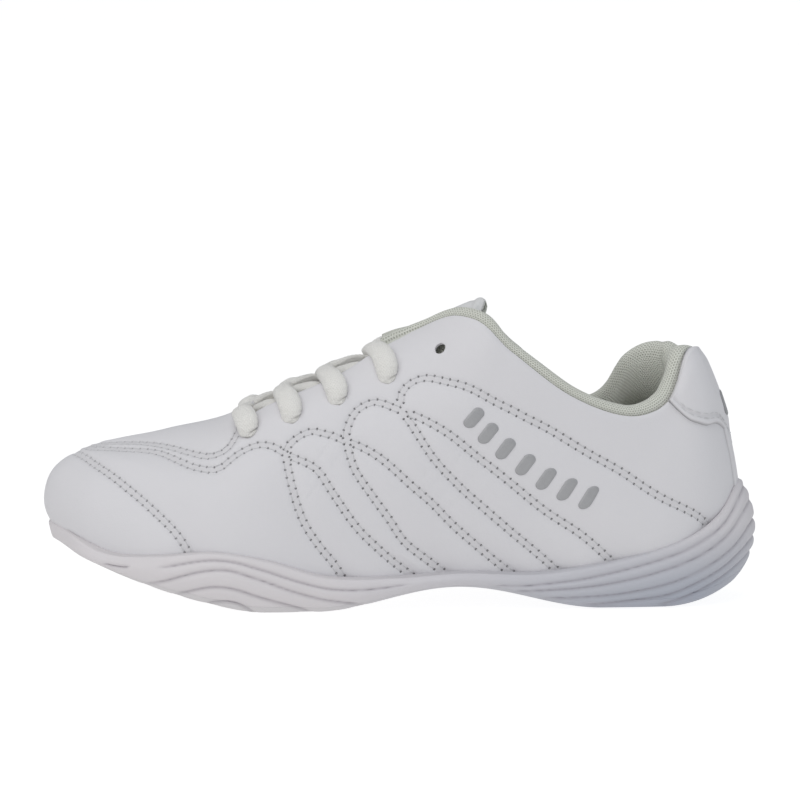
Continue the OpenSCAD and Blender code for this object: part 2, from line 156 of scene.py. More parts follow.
OUTSOLE_T = 2.2


def ring_rows():
    """The stations all the way round, with the y and z of each side."""
    rows = []
    for i in range(RING_N):
        s = STATIONS[i if i <= TOE_U else RING_N - i]
        y_foot, y_top, z_top = (s[1], s[5], s[7]) if i <= TOE_U else (s[2], s[6], s[8])
        rows.append([s[0], y_foot, s[3], s[4], y_top, z_top, *s[9:]])
    return np.array(rows, float)


RING = ring_rows()


def row(u):
    """Station values at ring position u."""
    u = np.asarray(u, float)
    i = np.floor(u).astype(int)
    return catmull(*(RING[(i + k) % RING_N] for k in (-1, 0, 1, 2)), (u - i)[..., None])


def plan_normal(u):
    d = (row(np.asarray(u) + 0.02) - row(np.asarray(u) - 0.02))[..., :2]
    n = np.stack([-d[..., 1], d[..., 0], 0 * d[..., 0]], -1)
    return n / np.linalg.norm(n, axis=-1, keepdims=True)


def fold(u):
    """The lateral position that mirrors u."""
    w = np.mod(u, RING_N)
    return np.where(w <= TOE_U, w, RING_N - w)


def lookup(u, table):
    return between(fold(u), table)


# The inner collar's own line near the heel, as a shift in t: lower at the side, then a quick rise
INNER_LINE = [(0, 0), (0.5, -0.03), (1, -0.048), (1.5, -0.05), (2, -0.016), (2.5, 0.09), (2.75, 0.125),
              (3, 0.12), (3.1, 0.055), (3.25, 0.0), (3.5, -0.03), (4, -0.02), (4.5, 0), (TOE_U, 0)]
INNER_U = np.arange(0, TOE_U, 0.02)
INNER_BLUR = 6                  # samples on each side that smooth the line's corners
INNER_SHIFT = np.convolve(np.pad(between(INNER_U, INNER_LINE), INNER_BLUR, "edge"),
                          np.full(2 * INNER_BLUR + 1, 1 / (2 * INNER_BLUR + 1)), "valid")


def inner_shift(u, t):
    """How far t moves on the inner side, where the collar doesn't mirror the outer side."""
    w = np.mod(u, RING_N)
    here = np.interp(RING_N - w, INNER_U, INNER_SHIFT)
    return np.where(w > TOE_U, here, 0) * smooth(t, 0.6, 1.0)


def surf(u, t):
    """Outer face of the upper."""
    u, t = np.broadcast_arrays(np.asarray(u, float), np.asarray(t, float))
    t = t + inner_shift(u, t)
    r, n, t = row(u), plan_normal(u), t[..., None]
    foot, top = r[..., 0:3], r[..., 3:6]
    rise = np.zeros_like(foot)
    rise[..., 2] = top[..., 2] - foot[..., 2]
    p1 = foot + n * r[..., 6:7] + rise * r[..., 7:8]
    p2 = top + n * r[..., 8:9] - rise * r[..., 9:10]
    s = 1 - t
    return s**3 * foot + 3 * s * s * t * p1 + 3 * s * t * t * p2 + t**3 * top


def side_normal(u, t):
    e = 0.02
    du = surf(u + e, t) - surf(u - e, t)
    dt = surf(u, t + e / 2) - surf(u, t - e / 2)
    return unit(np.cross(dt, du))


def surf_normal(u, t):
    """Outward normal. Near the closed ridge both sides share one normal, so a sheet across it has no step."""
    u, t = np.broadcast_arrays(np.asarray(u, float), np.asarray(t, float))
    side = side_normal(u, np.minimum(t, NEAR_TOP))
    ridge = unit(side_normal(u, NEAR_TOP + 0 * t) + side_normal(RING_N - u, NEAR_TOP + 0 * t))
    w = (smooth(t, 0.9, 1) * (fold(u) >= RIDGE_U))[..., None]
    return unit(side * (1 - w) + ridge * w)


def at(u, t, off):
    """Points standing off the upper's outer face."""
    return surf(u, t) + np.asarray(off, float)[..., None] * surf_normal(u, t)


def t_at_z(u, z):
    low, high = np.full(np.shape(u), -0.1), np.full(np.shape(u), 0.7)
    for _ in range(16):
        mid = (low + high) / 2
        under = surf(u, mid)[..., 2] < z
        low, high = np.where(under, mid, low), np.where(under, high, mid)
    return (low + high) / 2


def bottom_z(x):
    """Underside of the sole, as in the CAD source: toe spring, a hollow under the arch and a rising heel."""
    toe, arch, heel = np.maximum(0, -55 - x), np.abs(x - 22), np.maximum(0, x - 99)
    hollow = np.where(arch < 54, 8.2 * np.cos(np.radians(90 * arch / 54)) ** 2, 0)
    return 0.168 * toe + 0.0018 * toe**2 + hollow + 0.01 * heel**2


# How far the sole wall stands out of the upper: all round, and what the toe and its very tip add
WALL_LOW, WALL_MID, WALL_TOP = (3.6, -0.6, 0.2), (6.0, -2.6, 2.2), (3.0, -1.3, 1.3)
HEEL_FULL = 1.2                 # extra at mid height round the heel
GROUND_EDGE = [(-60, 0.5), (-20, 0.5), (20, 0.7), (70, 1.6)]     # height of the wall's lower edge, by x


def wall(u, s):
    """Outer face of the sole wall, from the ground edge (s = 0) to its top edge (s = 1)."""
    u, s = np.broadcast_arrays(np.asarray(u, float), np.asarray(s, float))
    here, back = np.unique(u, return_inverse=True)
    r = row(here)
    toe, tip = smooth(fold(here), 11.2, 12.8), smooth(fold(here), 12.2, 13.0)
    low_out, mid_out, top_out = (a + b * toe + c * tip for a, b, c in (WALL_LOW, WALL_MID, WALL_TOP))
    low = np.stack([r[:, 0], r[:, 1], 0 * here], -1) + low_out[:, None] * plan_normal(here)
    low[:, 2] = bottom_z(low[:, 0]) + between(low[:, 0], GROUND_EDGE)
    z0 = bottom_z(r[:, 0]) + OUTSOLE_T
    top = at(here, t_at_z(here, r[:, 10]), top_out)
    full = HEEL_FULL * smooth(fold(here), 2.0, 0.5)
    mid = at(here, t_at_z(here, (z0 + r[:, 10]) / 2), mid_out + full)
    bend = 2 * mid - (low + top) / 2
    low, bend, top = (p[back.ravel()].reshape(*u.shape, 3) for p in (low, bend, top))
    k = s[..., None]
    return (1 - k) ** 2 * low + 2 * k * (1 - k) * bend + k * k * top


# ---- Curves on the upper, as (u, t) on the lateral side ----

FLAT_U, FLAT_T = 22.0, 80.0     # rough millimetres per unit, for meshing on a plane
SEAM_STEP = 0.9
STITCH_PITCH = 3.1
ROW_GAP = 1.2                   # from the seam to each of its two needle rows
BASE_DEPTH = 5.0                # how far the skin runs down inside the sole wall

# The three joins where the straps and the arches above them meet
J1, J2, J3 = (8.24, 0.48), (7.23, 0.45), (6.59, 0.55)
SEAMS = {
    "toe": [(13, 0.75), (12.41, 0.69), (10.99, 0.41), (10.41, 0.31), (9.89, 0.22), (9.56, 0.14), (9.3, 0.03)],
    "wing_low": [(13, 0.83), (11.63, 0.75), (10.8, 0.68), (10.24, 0.59), (9.8, 0.52), (9.36, 0.48),
                 (9.14, 0.525), (8.88, 0.55), (8.66, 0.54), (8.36, 0.5), J1],
    "wing_high": [(13, 0.89), (11.57, 0.84), (10.7, 0.73), (10.06, 0.63), (9.62, 0.57), (9.39, 0.58),
                  (9.34, 0.64), (9.41, 0.8)],
    "arch_front": [J1, (8.23, 0.52), (7.99, 0.55), (7.64, 0.51), (7.33, 0.465), J2],
    "arch_middle": [J2, (7.3, 0.5), (7.27, 0.56), (7.04, 0.58), (6.74, 0.56), J3],
    "arch_rear": [J3, (6.68, 0.6), (6.66, 0.64), (6.5, 0.68), (6.12, 0.69), (5.47, 0.71), (4.74, 0.74),
                  (4.17, 0.76), (3.61, 0.72), (3.06, 0.64), (2.21, 0.41), (1.27, 0.22), (0.9, 0.1)],
    "front_a": [J1, (7.86, 0.33), (7.51, 0.21), (7.19, 0.13), (6.87, 0.06), (6.6, -0.03)],
    "front_b": [J1, (7.61, 0.39), (7.18, 0.29), (6.66, 0.18), (6.2, 0.1), (5.73, 0.01), (5.5, -0.05)],
    "middle_a": [J2, (6.92, 0.35), (6.52, 0.27), (6.16, 0.2), (5.87, 0.13), (5.49, 0.06), (5.1, -0.03)],
    "middle_b": [J2, (6.61, 0.39), (6.01, 0.32), (5.6, 0.27), (5.21, 0.2), (4.86, 0.13), (4.56, 0.06),
                 (4.2, -0.03)],
    "rear_a": [J3, (5.89, 0.43), (5.34, 0.36), (4.84, 0.29), (4.4, 0.21), (4.06, 0.13), (3.75, 0.03),
               (3.6, -0.03)],
    "rear_b": [J3, (6.05, 0.53), (5.26, 0.49), (4.56, 0.43), (4.02, 0.35), (3.5, 0.25), (3.06, 0.1),
               (2.8, -0.02)],
}
COLLAR_EDGE = [(2.05, 0.96), (2.3, 0.965), (2.56, 0.98), (3.08, 1), (4.0, 1.01), (5.0, 1.01), (5.73, 1.0),
               (6.05, 1.01), (6.3, 1.035), (6.5, 1.03), (6.75, 0.985), (6.98, 0.92)]
THROAT_EDGE = [(6.98, 0.92), (7.3, 0.865), (8, 0.81), (9.3, 0.79), (9.41, 0.8)]
TAB_EDGE = [(0, 0.5), (0.23, 0.56), (0.39, 0.59), (0.64, 0.61), (1.01, 0.62), (1.31, 0.67), (1.5, 0.72),
            (1.79, 0.84), (2.05, 0.96)]
TAB_LAP = 0.02                  # how far the skin runs up under the tab, in t
EYELETS = [(9.12, 0.655), (8.44, 0.665), (7.74, 0.678), (7.0, 0.697), (6.4, 0.82)]
EYELET_R = 2.2
EYELET_POINTS = 24
CENTRE = float(TOE_U)


def spline(points):
    """Centripetal Catmull-Rom curve through 2-D points."""
    p = np.array(points, float)
    p = np.vstack([2 * p[0] - p[1], p, 2 * p[-1] - p[-2]])
    out = [p[1]]
    for k in range(1, len(p) - 2):
        q = p[k - 1:k + 3]
        gap = np.sqrt(np.maximum(np.linalg.norm(np.diff(q, axis=0) * [FLAT_U, FLAT_T], axis=1), 1e-6))
        a = np.concatenate([[0], np.cumsum(gap)])
        for x in np.linspace(a[1], a[2], 13)[1:]:
            l1 = [(q[i] * (a[i + 1] - x) + q[i + 1] * (x - a[i])) / (a[i + 1] - a[i]) for i in range(3)]
            l2 = [(l1[i] * (a[i + 2] - x) + l1[i + 1] * (x - a[i])) / (a[i + 2] - a[i]) for i in range(2)]
            out.append((l2[0] * (a[2] - x) + l2[1] * (x - a[1])) / (a[2] - a[1]))
    return np.array(out)


def resample(q, step):
    """The same curve with points a fixed number of millimetres apart on the upper."""
    length = run_length(surf(q[:, 0], q[:, 1]))
    n = max(2, int(round(length[-1] / step)) + 1)
    s = np.linspace(0, length[-1], n)
    return np.stack([np.interp(s, length, q[:, k]) for k in (0, 1)], -1)


def curve(points):
    return resample(spline(points), SEAM_STEP)


def base_t(u):
    """Lower edge of the skin, inside the sole wall."""
    r = row(u)
    return np.maximum(t_at_z(u, r[..., 10] - BASE_DEPTH), 0.0)


def clip_to_base(q):
    """Ends a curve where it meets the skin's lower edge."""
    over = q[:, 1] - base_t(q[:, 0])
    if over.min() >= 0:
        return q
    k = int(np.argmax(over < 0))
    f = over[k - 1] / (over[k - 1] - over[k])
    return np.vstack([q[:k], q[k - 1] + (q[k] - q[k - 1]) * f])


def slopes(q):
    """How the upper's points move with u and with t at (u, t) positions q."""
    e = 1e-3
    su = (surf(q[:, 0] + e, q[:, 1]) - surf(q[:, 0] - e, q[:, 1])) / (2 * e)
    st = (surf(q[:, 0], q[:, 1] + e) - surf(q[:, 0], q[:, 1] - e)) / (2 * e)
    return su, st


def slide(q, move):
    """Positions q moved over the upper by small steps in space, in millimetres."""
    su, st = slopes(q)
    g11, g12, g22 = (su * su).sum(1), (su * st).sum(1), (st * st).sum(1)
    b1, b2 = (su * move).sum(1), (st * move).sum(1)
    det = np.maximum(g11 * g22 - g12 * g12, 1e-6)
    return q + np.stack([(g22 * b1 - g12 * b2) / det, (g11 * b2 - g12 * b1) / det], -1)


def shift(q, side):
    """A curve moved sideways over the upper by millimetres."""
    su, st = slopes(q)
    d = np.gradient(q, axis=0)
    along = unit(su * d[:, :1] + st * d[:, 1:])
    return slide(q, unit(np.cross(np.cross(su, st), along)) * side)


def circle_on_skin(q, radius, n):
    """n points round (u, t) q at a radius in millimetres."""
    here = np.repeat(np.array([q], float), n, 0)
    su, st = slopes(here)
    x = unit(su)
    y = unit(np.cross(np.cross(su, st), x))
    a = turns(n)[:, None]
    return slide(here, radius * (x * np.cos(a) + y * np.sin(a)))


seam_lines = {name: clip_to_base(curve(points)) for name, points in SEAMS.items()}

FINE_STEP = 0.2
HOLE_CLEAR = 1.1                # nearest that a needle hole comes to one of another row


def stitch_points():
    """Needle holes of every seam, as a list of rows, each an array of (u, t). Crossing rows drop a hole."""
    rows, taken = [], []
    pitch = int(round(STITCH_PITCH / FINE_STEP))
    for line in seam_lines.values():
        for side, start in ((-ROW_GAP, 0.5), (ROW_GAP, 1.0)):
            row_holes, kept = [], []
            for p in resample(shift(line, side), FINE_STEP)[int(start * pitch)::pitch]:
                xyz = surf(p[0], p[1])
                inside = base_t(p[0]) + 0.01 < p[1] and p[0] < CENTRE - 0.02
                if inside and all(np.linalg.norm(xyz - o) > HOLE_CLEAR for o in taken):
                    kept.append(p)
                    row_holes.append(xyz)
                else:
                    rows.append(kept)
                    kept = []
            rows.append(kept)
            taken += row_holes
    return [np.array(r) for r in rows if len(r) > 1]


class Points:
    """Plane points for the mesher. A soft point is refused when it lies too near one that is there."""

    def __init__(self):
        self.uv, self.depth, self.cells, self.known = [], [], {}, {}

    def add(self, q, clear=0.0, depth=0.0):
        x, y = q[0] * FLAT_U, q[1] * FLAT_T
        key = (round(x, 4), round(y, 4))
        if key in self.known:
            return self.known[key]
        cx, cy = int(x // 1.0), int(y // 1.0)
        reach = int(math.ceil(clear))
        near = [p for i in range(cx - reach, cx + reach + 1) for j in range(cy - reach, cy + reach + 1)
                for p in self.cells.get((i, j), ())] if clear > 0 else []
        if any((px - x) ** 2 + (py - y) ** 2 < clear * clear for px, py in near):
            return None
        self.cells.setdefault((cx, cy), []).append((x, y))
        self.known[key] = len(self.uv)
        self.uv.append((q[0], q[1]))
        self.depth.append(depth)
        return len(self.uv) - 1

    def outline(self, *lines):
        """One closed outline through the lines, as point numbers, turning as the mesher wants."""
        loop = []
        for p in np.concatenate(lines):
            k = self.add(p)
            if not loop or loop[-1] != k:
                loop.append(k)
        if loop[0] == loop[-1]:
            loop.pop()
        x, y = np.array([self.uv[k] for k in loop]).T
        area = (x * np.roll(y, -1) - y * np.roll(x, -1)).sum()
        return loop if area > 0 else loop[::-1]


STRAIGHT_STEP = 1.5


def straight(a, b):
    return resample(np.linspace(a, b, 40), STRAIGHT_STEP)


def base_line(u0, u1):
    u = np.linspace(u0, u1, max(2, int(abs(u1 - u0) * FLAT_U / STRAIGHT_STEP)))
    return np.stack([u, base_t(u)], -1)


def skin_regions(points):
    """Closed outlines of the lateral leather pieces, sharing their border points."""
    s = seam_lines
    foot = {name: line[-1][0] for name, line in s.items()}
    under_tab = curve([(u, t + TAB_LAP) for u, t in TAB_EDGE[1:-1]] + [TAB_EDGE[-1]])
    heel_u = under_tab[0][0]
    toe_top, wing_low, wing_high = ((CENTRE, SEAMS[name][0][1]) for name in ("toe", "wing_low", "wing_high"))
    throat_u, throat_t = THROAT_EDGE[-1]
    regions = {
        "toe_cap": [s["toe"], base_line(foot["toe"], CENTRE),
                    straight((CENTRE, float(base_t(CENTRE))), toe_top)],
        "vamp": [s["toe"][::-1], straight(toe_top, wing_low), s["wing_low"], s["front_a"],
                 base_line(foot["front_a"], foot["toe"])],
        "vamp_top": [s["wing_high"], straight((throat_u, throat_t), (throat_u, 1.0)),
                     straight((throat_u, 1.0), (CENTRE, 1.0)), straight((CENTRE, 1.0), wing_high)],
    }
    arches = {"front": "middle_a", "middle": "rear_a"}
    for name in ("front", "middle", "rear"):
        a, b = s[name + "_a"], s[name + "_b"]
        regions["strap_" + name] = [a[::-1], b, base_line(foot[name + "_b"], foot[name + "_a"])]
        beyond = [s[arches[name]]] if name in arches else []
        end = arches.get(name, "arch_rear")
        regions["pad_" + name] = [b[::-1], s["arch_" + name], *beyond,
                                  base_line(foot[end], foot[name + "_b"])]
    regions["eyestay"] = [
        s["wing_high"][::-1], straight(wing_high, wing_low), s["wing_low"], s["arch_front"], s["arch_middle"],
        s["arch_rear"], base_line(foot["arch_rear"], heel_u),
        straight((heel_u, float(base_t(heel_u))), under_tab[0]), under_tab,
        curve(COLLAR_EDGE), curve(THROAT_EDGE)]
    return {name: points.outline(*lines) for name, lines in regions.items()}


NEEDLE_RINGS = ((0.0, 1, 1.0), (0.3, 6, 0.9), (0.58, 8, 0.0))   # radius, points, share of the depth
SEAM_GUIDES = (0.5, ROW_GAP, 1.9, 2.7, 3.8)     # distances from a seam at which the mesh has rows of points
EDGE_GUIDES = (0.35, 0.9, 1.8)
FIELD_STEP = 2.0


def guide_points(points):
    """Fills the plane with points: close round needle holes and along seams and edges, wider in between."""
    for q in EYELETS:
        for p in circle_on_skin(q, EYELET_R + 0.7, EYELET_POINTS):
            points.add(p, 0.3)
    for q in np.concatenate(stitch_points()):
        for radius, n, depth in NEEDLE_RINGS:
            for p in (circle_on_skin(q, radius, n) if n > 1 else [q]):
                points.add(p, 0.12, depth)
    for line in seam_lines.values():
        for d in SEAM_GUIDES:
            for p in np.vstack([shift(line, -d), shift(line, d)]):
                if p[1] > 0 and p[0] < CENTRE:
                    points.add(p, 0.45)
    for line in (curve(COLLAR_EDGE), curve(THROAT_EDGE)):
        for d in EDGE_GUIDES:
            for p in np.vstack([shift(line, d), shift(line, -d)]):
                points.add(p, 0.3)
    for u in np.arange(0.2, CENTRE, FIELD_STEP / FLAT_U):
        for t in np.arange(0.0, 1.08, FIELD_STEP / FLAT_T):
            points.add((u + (0.4 / FLAT_U) * math.sin(t * 40), t), 1.3)


def mesh_skin():
    """One triangle mesh of the lateral skin: (u, t) and needle depth of its points, faces by region."""
    points = Points()
    regions = skin_regions(points)
    holes = [points.outline(circle_on_skin(q, EYELET_R, EYELET_POINTS)) for q in EYELETS]
    guide_points(points)
    names = list(regions)
    plane = [(u * FLAT_U, t * FLAT_T) for u, t in points.uv]
    loops = [regions[n] for n in names] + holes
    verts, _, faces, from_verts, _, from_faces = delaunay_2d_cdt(plane, [], loops, 0, 1e-6)
    uv = np.array([(v[0] / FLAT_U, v[1] / FLAT_T) for v in verts])
    depth = np.array([points.depth[o[0]] if o else 0.0 for o in from_verts])
    pieces = {n: [] for n in names}
    for f, owners in zip(faces, from_faces):
        if owners and max(owners) < len(names):
            pieces[names[owners[0]]].append(f)
    return uv, depth, {n: np.array(f) for n, f in pieces.items()}


# ---- Mesh pieces ----

LOOK = "_look"     # ends every built piece's name, apart from the CAD node it stands for


def make_piece(name, points, faces, material, uv=None, normals=None, attributes=None):
    """A smooth-shaded mesh from points in millimetres of the base shoe."""
    mesh = bpy.data.meshes.new(name + LOOK)
    mesh.from_pydata((np.asarray(points) * MM).tolist(), [], [tuple(f) for f in faces])
    mesh.validate()
    mesh.shade_smooth()
    for key, values in (attributes or {}).items():
        layer = mesh.attributes.new(key, "FLOAT", "POINT")
        layer.data.foreach_set("value", np.asarray(values, np.float32))
    loop_vertex = np.zeros(len(mesh.loops), int)
    mesh.loops.foreach_get("vertex_index", loop_vertex)
    if uv is not None:
        layer = mesh.uv_layers.new(name="weave")
        layer.uv.foreach_set("vector", np.asarray(uv, np.float32)[loop_vertex].ravel())
    if normals is not None:
        mesh.normals_split_custom_set(np.asarray(normals(mesh, loop_vertex), float).tolist())
    mesh.materials.append(material)
    obj = bpy.data.objects.new(name + LOOK, mesh)
    bpy.context.scene.collection.objects.link(obj)
    return obj


def place(obj, body, slot, nodes=()):
    """Hides the nodes a piece stands for and parents it to its body; a flex or tongue piece is only baked in
    place.
    """
    if nodes:
        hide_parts(*nodes)
    if body == "flex":
        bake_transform(obj)
    elif body == "tongue":
        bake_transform(obj)
    else:
        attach(obj, body)
    return obj


def grid_faces(nu, nt):
    """Quads of a grid of nu by nt points, numbered row by row."""
    i, j = np.meshgrid(np.arange(nu - 1), np.arange(nt - 1), indexing="ij")
    a, b = i * nt + j, (i + 1) * nt + j
    return np.stack([a, b, b + 1, a + 1], -1).reshape(-1, 4)


def ring_quads(count, n):
    """Quads between neighbouring rings, for a number of closed rings of n points each."""
    i, j = np.meshgrid(np.arange(count - 1), np.arange(n), indexing="ij")
    k = (j + 1) % n
    return np.stack([i * n + j, (i + 1) * n + j, (i + 1) * n + k, i * n + k], -1).reshape(-1, 4)


def outward(points, faces):
    """The faces, all turned round when they enclose the points inside out."""
    return [f[::-1] for f in faces] if signed_volume(points, faces) < 0 else faces


def merge(solids):
    """One set of points and faces from several."""
    points, faces = [], []
    for p, f in solids:
        faces += [[i + len(points) for i in face] for face in f]
        points += p.tolist()
    return points, faces


def sheet(name, outer, inner, material, uv=None, attributes=None):
    """Closed sheet between an outer and an inner grid of points."""
    nu, nt = outer.shape[:2]
    m = nu * nt
    top = grid_faces(nu, nt)
    rim = [*range(nt), *(i * nt + nt - 1 for i in range(1, nu))]
    rim += [*((nu - 1) * nt + j for j in range(nt - 2, -1, -1)), *(i * nt for i in range(nu - 2, 0, -1))]
    ring = zip(rim, rim[1:] + rim[:1])
    faces = top.tolist() + (top[:, ::-1] + m).tolist() + [[b, a, a + m, b + m] for a, b in ring]
    points = np.concatenate([outer.reshape(-1, 3), inner.reshape(-1, 3)])
    both = None if uv is None else np.concatenate([uv.reshape(-1, 2)] * 2)
    doubled = {k: np.concatenate([v.ravel()] * 2) for k, v in (attributes or {}).items()}
    return make_piece(name, points, outward(points, faces), material, both, None, doubled)


def signed_volume(points, faces):
    """Six times the volume inside the faces: negative when they are turned inwards."""
    points = np.asarray(points)
    total = 0.0
    for size in {len(f) for f in faces}:
        f = np.array([face for face in faces if len(face) == size])
        for k in range(1, size - 1):
            total += (points[f[:, 0]] * np.cross(points[f[:, k]], points[f[:, k + 1]])).sum()
    return total


def grid_uv(points):
    """Millimetres along and across a grid of points, for weaves."""
    du = np.linalg.norm(np.diff(points, axis=0), axis=-1)
    dv = np.linalg.norm(np.diff(points, axis=1), axis=-1)
    u = np.concatenate([[0], np.cumsum(du.mean(1))])
    v = np.concatenate([[0], np.cumsum(dv.mean(0))])
    return np.stack(np.meshgrid(u, v, indexing="ij"), -1)


def panel(name, patch, nu, nt, out, inn, material, bulge=None):
    """A piece of the upper: patch(a, b) gives u and t, and out and inn are offsets from the skin's face."""
    a, b = grid(nu + 1, nt + 1)
    u, t = patch(a, b)
    rise = 0.0 if bulge is None else bulge(a, b, u, t)
    outer, inner = at(u, t, out + rise + 0 * u), at(u, t, inn + 0 * u)
    return sheet(name, outer, inner, material, grid_uv(outer))


# ---- Leather skin ----

LEATHER = 1.1                   # thickness of the skin


def tree_of(*clouds):
    cloud = np.concatenate(clouds)
    tree = KDTree(len(cloud))
    for k, p in enumerate(cloud):
        tree.insert(p, k)
    tree.balance()
    return tree


def distances(tree, points):
    return np.array([tree.find(p)[2] for p in points.reshape(-1, 3)]).reshape(points.shape[:-1])


def both_sides(line):
    return np.concatenate([surf(line[:, 0], line[:, 1]), surf(RING_N - line[:, 0], line[:, 1])])


def free_edges():
    lines = [resample(spline(q), 0.5) for q in (COLLAR_EDGE, THROAT_EDGE)]
    return lines + [circle_on_skin(q, EYELET_R, EYELET_POINTS) for q in EYELETS]


seam_tree = tree_of(*[both_sides(resample(line, 0.4)) for line in seam_lines.values()])
edge_tree = tree_of(*[both_sides(line) for line in free_edges()])


def seam_relief(base):
    """Height of the leather over its plain face: soft pads between seams, a trough with two needle lines."""
    d = distances(seam_tree, base)
    e = distances(edge_tree, base)
    pads = 1.2 * (1 - bell(d, 8.5)) - 0.3
    trough = -0.5 * bell(d, 2.4)
    rows = -0.2 * bell(d - ROW_GAP, 0.45)
    rolled = -0.55 * bell(e, 0.7)
    slack = 0.12 * np.sin(base[..., 0] / 7 + base[..., 2] / 5) * np.sin(base[..., 2] / 9 + 1)
    return pads + trough + rows + rolled + slack, d


def skin_height(base):
    return seam_relief(base)[0]


TOE_FULL = 1.3                  # how far the toe leather swells out just above the sole
NEEDLE_SINK = 0.5               # depth of a needle hole


def skin_side(uv, depth, side):
    """Outer points, inner points and painted shade of one side of the skin: dark needle holes and grey seam
    troughs.
    """
    u = uv[:, 0] if side < 0 else RING_N - uv[:, 0]
    t = uv[:, 1]
    height, d = seam_relief(surf(u, t))
    height = height + TOE_FULL * smooth(fold(u), 12.0, 13.0) * smooth(t, 0.4, 0.08)
    outer = at(u, t, height - NEEDLE_SINK * depth)
    inner = at(u, t, np.minimum(height, 0.3) - LEATHER)
    # painted shade in the needle holes, weaker towards the toe
    hole_shade_scale = np.interp(outer[:, 0], [-95, -30], [0.6, 1.0])
    # the seam value paints grey shade along each seam's trough
    return outer, inner, {"needle": depth * hole_shade_scale, "seam": bell(d, 1.6)}


def shared_normals(points, faces):
    """Vertex normals averaged over every face at the same place, so borders between pieces don't show."""
    key = np.round(points, 3)
    _, same = np.unique(key, axis=0, return_inverse=True)
    same = same.ravel()
    p = points[faces]
    n = np.cross(p[:, 1] - p[:, 0], p[:, 2] - p[:, 0])
    total = np.zeros((same.max() + 1, 3))
    for k in range(3):
        np.add.at(total, same[faces[:, k]], n)
    return unit(total)[same]


def skin_pieces():
    """Name, regions, sides and body of each leather piece."""
    pieces = [(name, (name,), (-1, 1), "flex") for name in ("toe_cap", "vamp", "vamp_top")]
    pads = ("pad_front", "pad_middle", "pad_rear")
    for name, regions in (("eyestay", ("eyestay",)), ("quarter", pads), ("strap_front", ("strap_front",)),
                          ("strap_middle", ("strap_middle",)), ("strap_rear", ("strap_rear",))):
        body = "rearfoot" if name == "strap_rear" else "flex"
        pieces += [(name + end, regions, (side,), body) for end, side in (("_lateral", -1), ("_medial", 1))]
    return pieces


def shell_faces(faces, n):
    """Outer faces, inner faces n points further on, and the rim between them."""
    edges = dict.fromkeys((int(a), int(b)) for f in faces for a, b in zip(f, np.roll(f, -1)))
    rim = [(b, a, a + n, b + n) for a, b in edges if (b, a) not in edges]
    return faces.tolist() + (faces[:, ::-1] + n).tolist() + rim


def twice(values, keep):
    return np.concatenate([values[keep], values[keep]])


def build_skin(material):
    uv, depth, regions = mesh_skin()
    lateral, medial = (skin_side(uv, depth, side) for side in (-1, 1))
    outer, inner = (np.concatenate([lateral[k], medial[k]]) for k in (0, 1))
    values = {k: np.concatenate([lateral[2][k], medial[2][k]]) for k in ("needle", "seam")}
    faces = {(n, -1): f[:, ::-1] for n, f in regions.items()}
    faces.update({(n, 1): f + len(uv) for n, f in regions.items()})
    normal = shared_normals(outer, np.concatenate(list(faces.values())))
    for name, parts, on_sides, body in skin_pieces():
        f = np.concatenate([faces[(n, s)] for n in parts for s in on_sides])
        used = np.unique(f)
        _, first, weld = np.unique(np.round(outer[used], 3), axis=0, return_index=True, return_inverse=True)
        local = np.zeros(len(outer), int)
        local[used] = weld.ravel()
        keep = used[first]
        shade = np.concatenate([normal[keep], -normal[keep]])
        rim_from = 2 * len(f)

        def loop_normals(mesh, loop_vertex, shade=shade, rim_from=rim_from):
            out = shade[loop_vertex]
            for poly in list(mesh.polygons)[rim_from:]:
                out[poly.loop_start:poly.loop_start + poly.loop_total] = poly.normal
            return out

        extra = {k: twice(v, keep) for k, v in values.items()}
        obj = make_piece(name, np.concatenate([outer[keep], inner[keep]]), shell_faces(local[f], len(keep)),
                         material, None, loop_normals, extra)
        place(obj, body, "upper_leather", (name,))


THREAD_R, THREAD_SIDES = 0.15, 5
# A lock stitch from hole to hole: share of the way, and height over the leather
STITCH_SHARE = np.array([0.0, 0.14, 0.32, 0.5, 0.68, 0.86, 1.0])
STITCH_SINK = np.array([-0.55, -0.08, 0.08, 0.12, 0.08, -0.08, -0.55])


def thread_tubes(centre, up):
    """Tubes along many short paths: centre and up are (count, points, 3), places and their up directions."""
    across = unit(np.cross(unit(np.gradient(centre, axis=1)), up))
    lift = np.cross(across, unit(np.gradient(centre, axis=1)))
    a = turns(THREAD_SIDES)
    ring = across[..., None, :] * np.cos(a)[:, None] + lift[..., None, :] * np.sin(a)[:, None]
    points = (centre[..., None, :] + THREAD_R * ring).reshape(-1, 3)
    count, length = centre.shape[:2]
    size = length * THREAD_SIDES
    sides = ring_quads(length, THREAD_SIDES)[:, [0, 3, 2, 1]]
    faces = (sides + np.arange(count)[:, None, None] * size).reshape(-1, 4).tolist()
    first_tube = signed_volume(points[:size], faces[:len(sides)])
    start = np.arange(THREAD_SIDES)
    for c in range(count):
        faces.append((start[::-1] + c * size).tolist())
        faces.append((start + size - THREAD_SIDES + c * size).tolist())
    return points, [f[::-1] for f in faces] if first_tube < 0 else faces


def stitching(name, rows, side, material, body, height_at):
    """Lock stitches between neighbouring needle holes, dipping into the leather at both ends."""
    a = np.concatenate([r[:-1] for r in rows])
    b = np.concatenate([r[1:] for r in rows])
    q = a[:, None, :] + (b - a)[:, None, :] * STITCH_SHARE[None, :, None]
    u = q[..., 0] if side < 0 else RING_N - q[..., 0]
    base, n = surf(u, q[..., 1]), surf_normal(u, q[..., 1])
    points, faces = thread_tubes(base + n * (height_at(base) + STITCH_SINK)[..., None], n)
    return place(make_piece(name, points, faces, material), body, "lace_cotton")


# ---- Collar, heel tab and backstay ----

COLLAR_PATH = [(7.2, 0.882), *COLLAR_EDGE[::-1], (1.75, 0.975), (1.4, 0.975), (0.9, 0.965), (0.45, 0.96),
               (0, 0.96)]
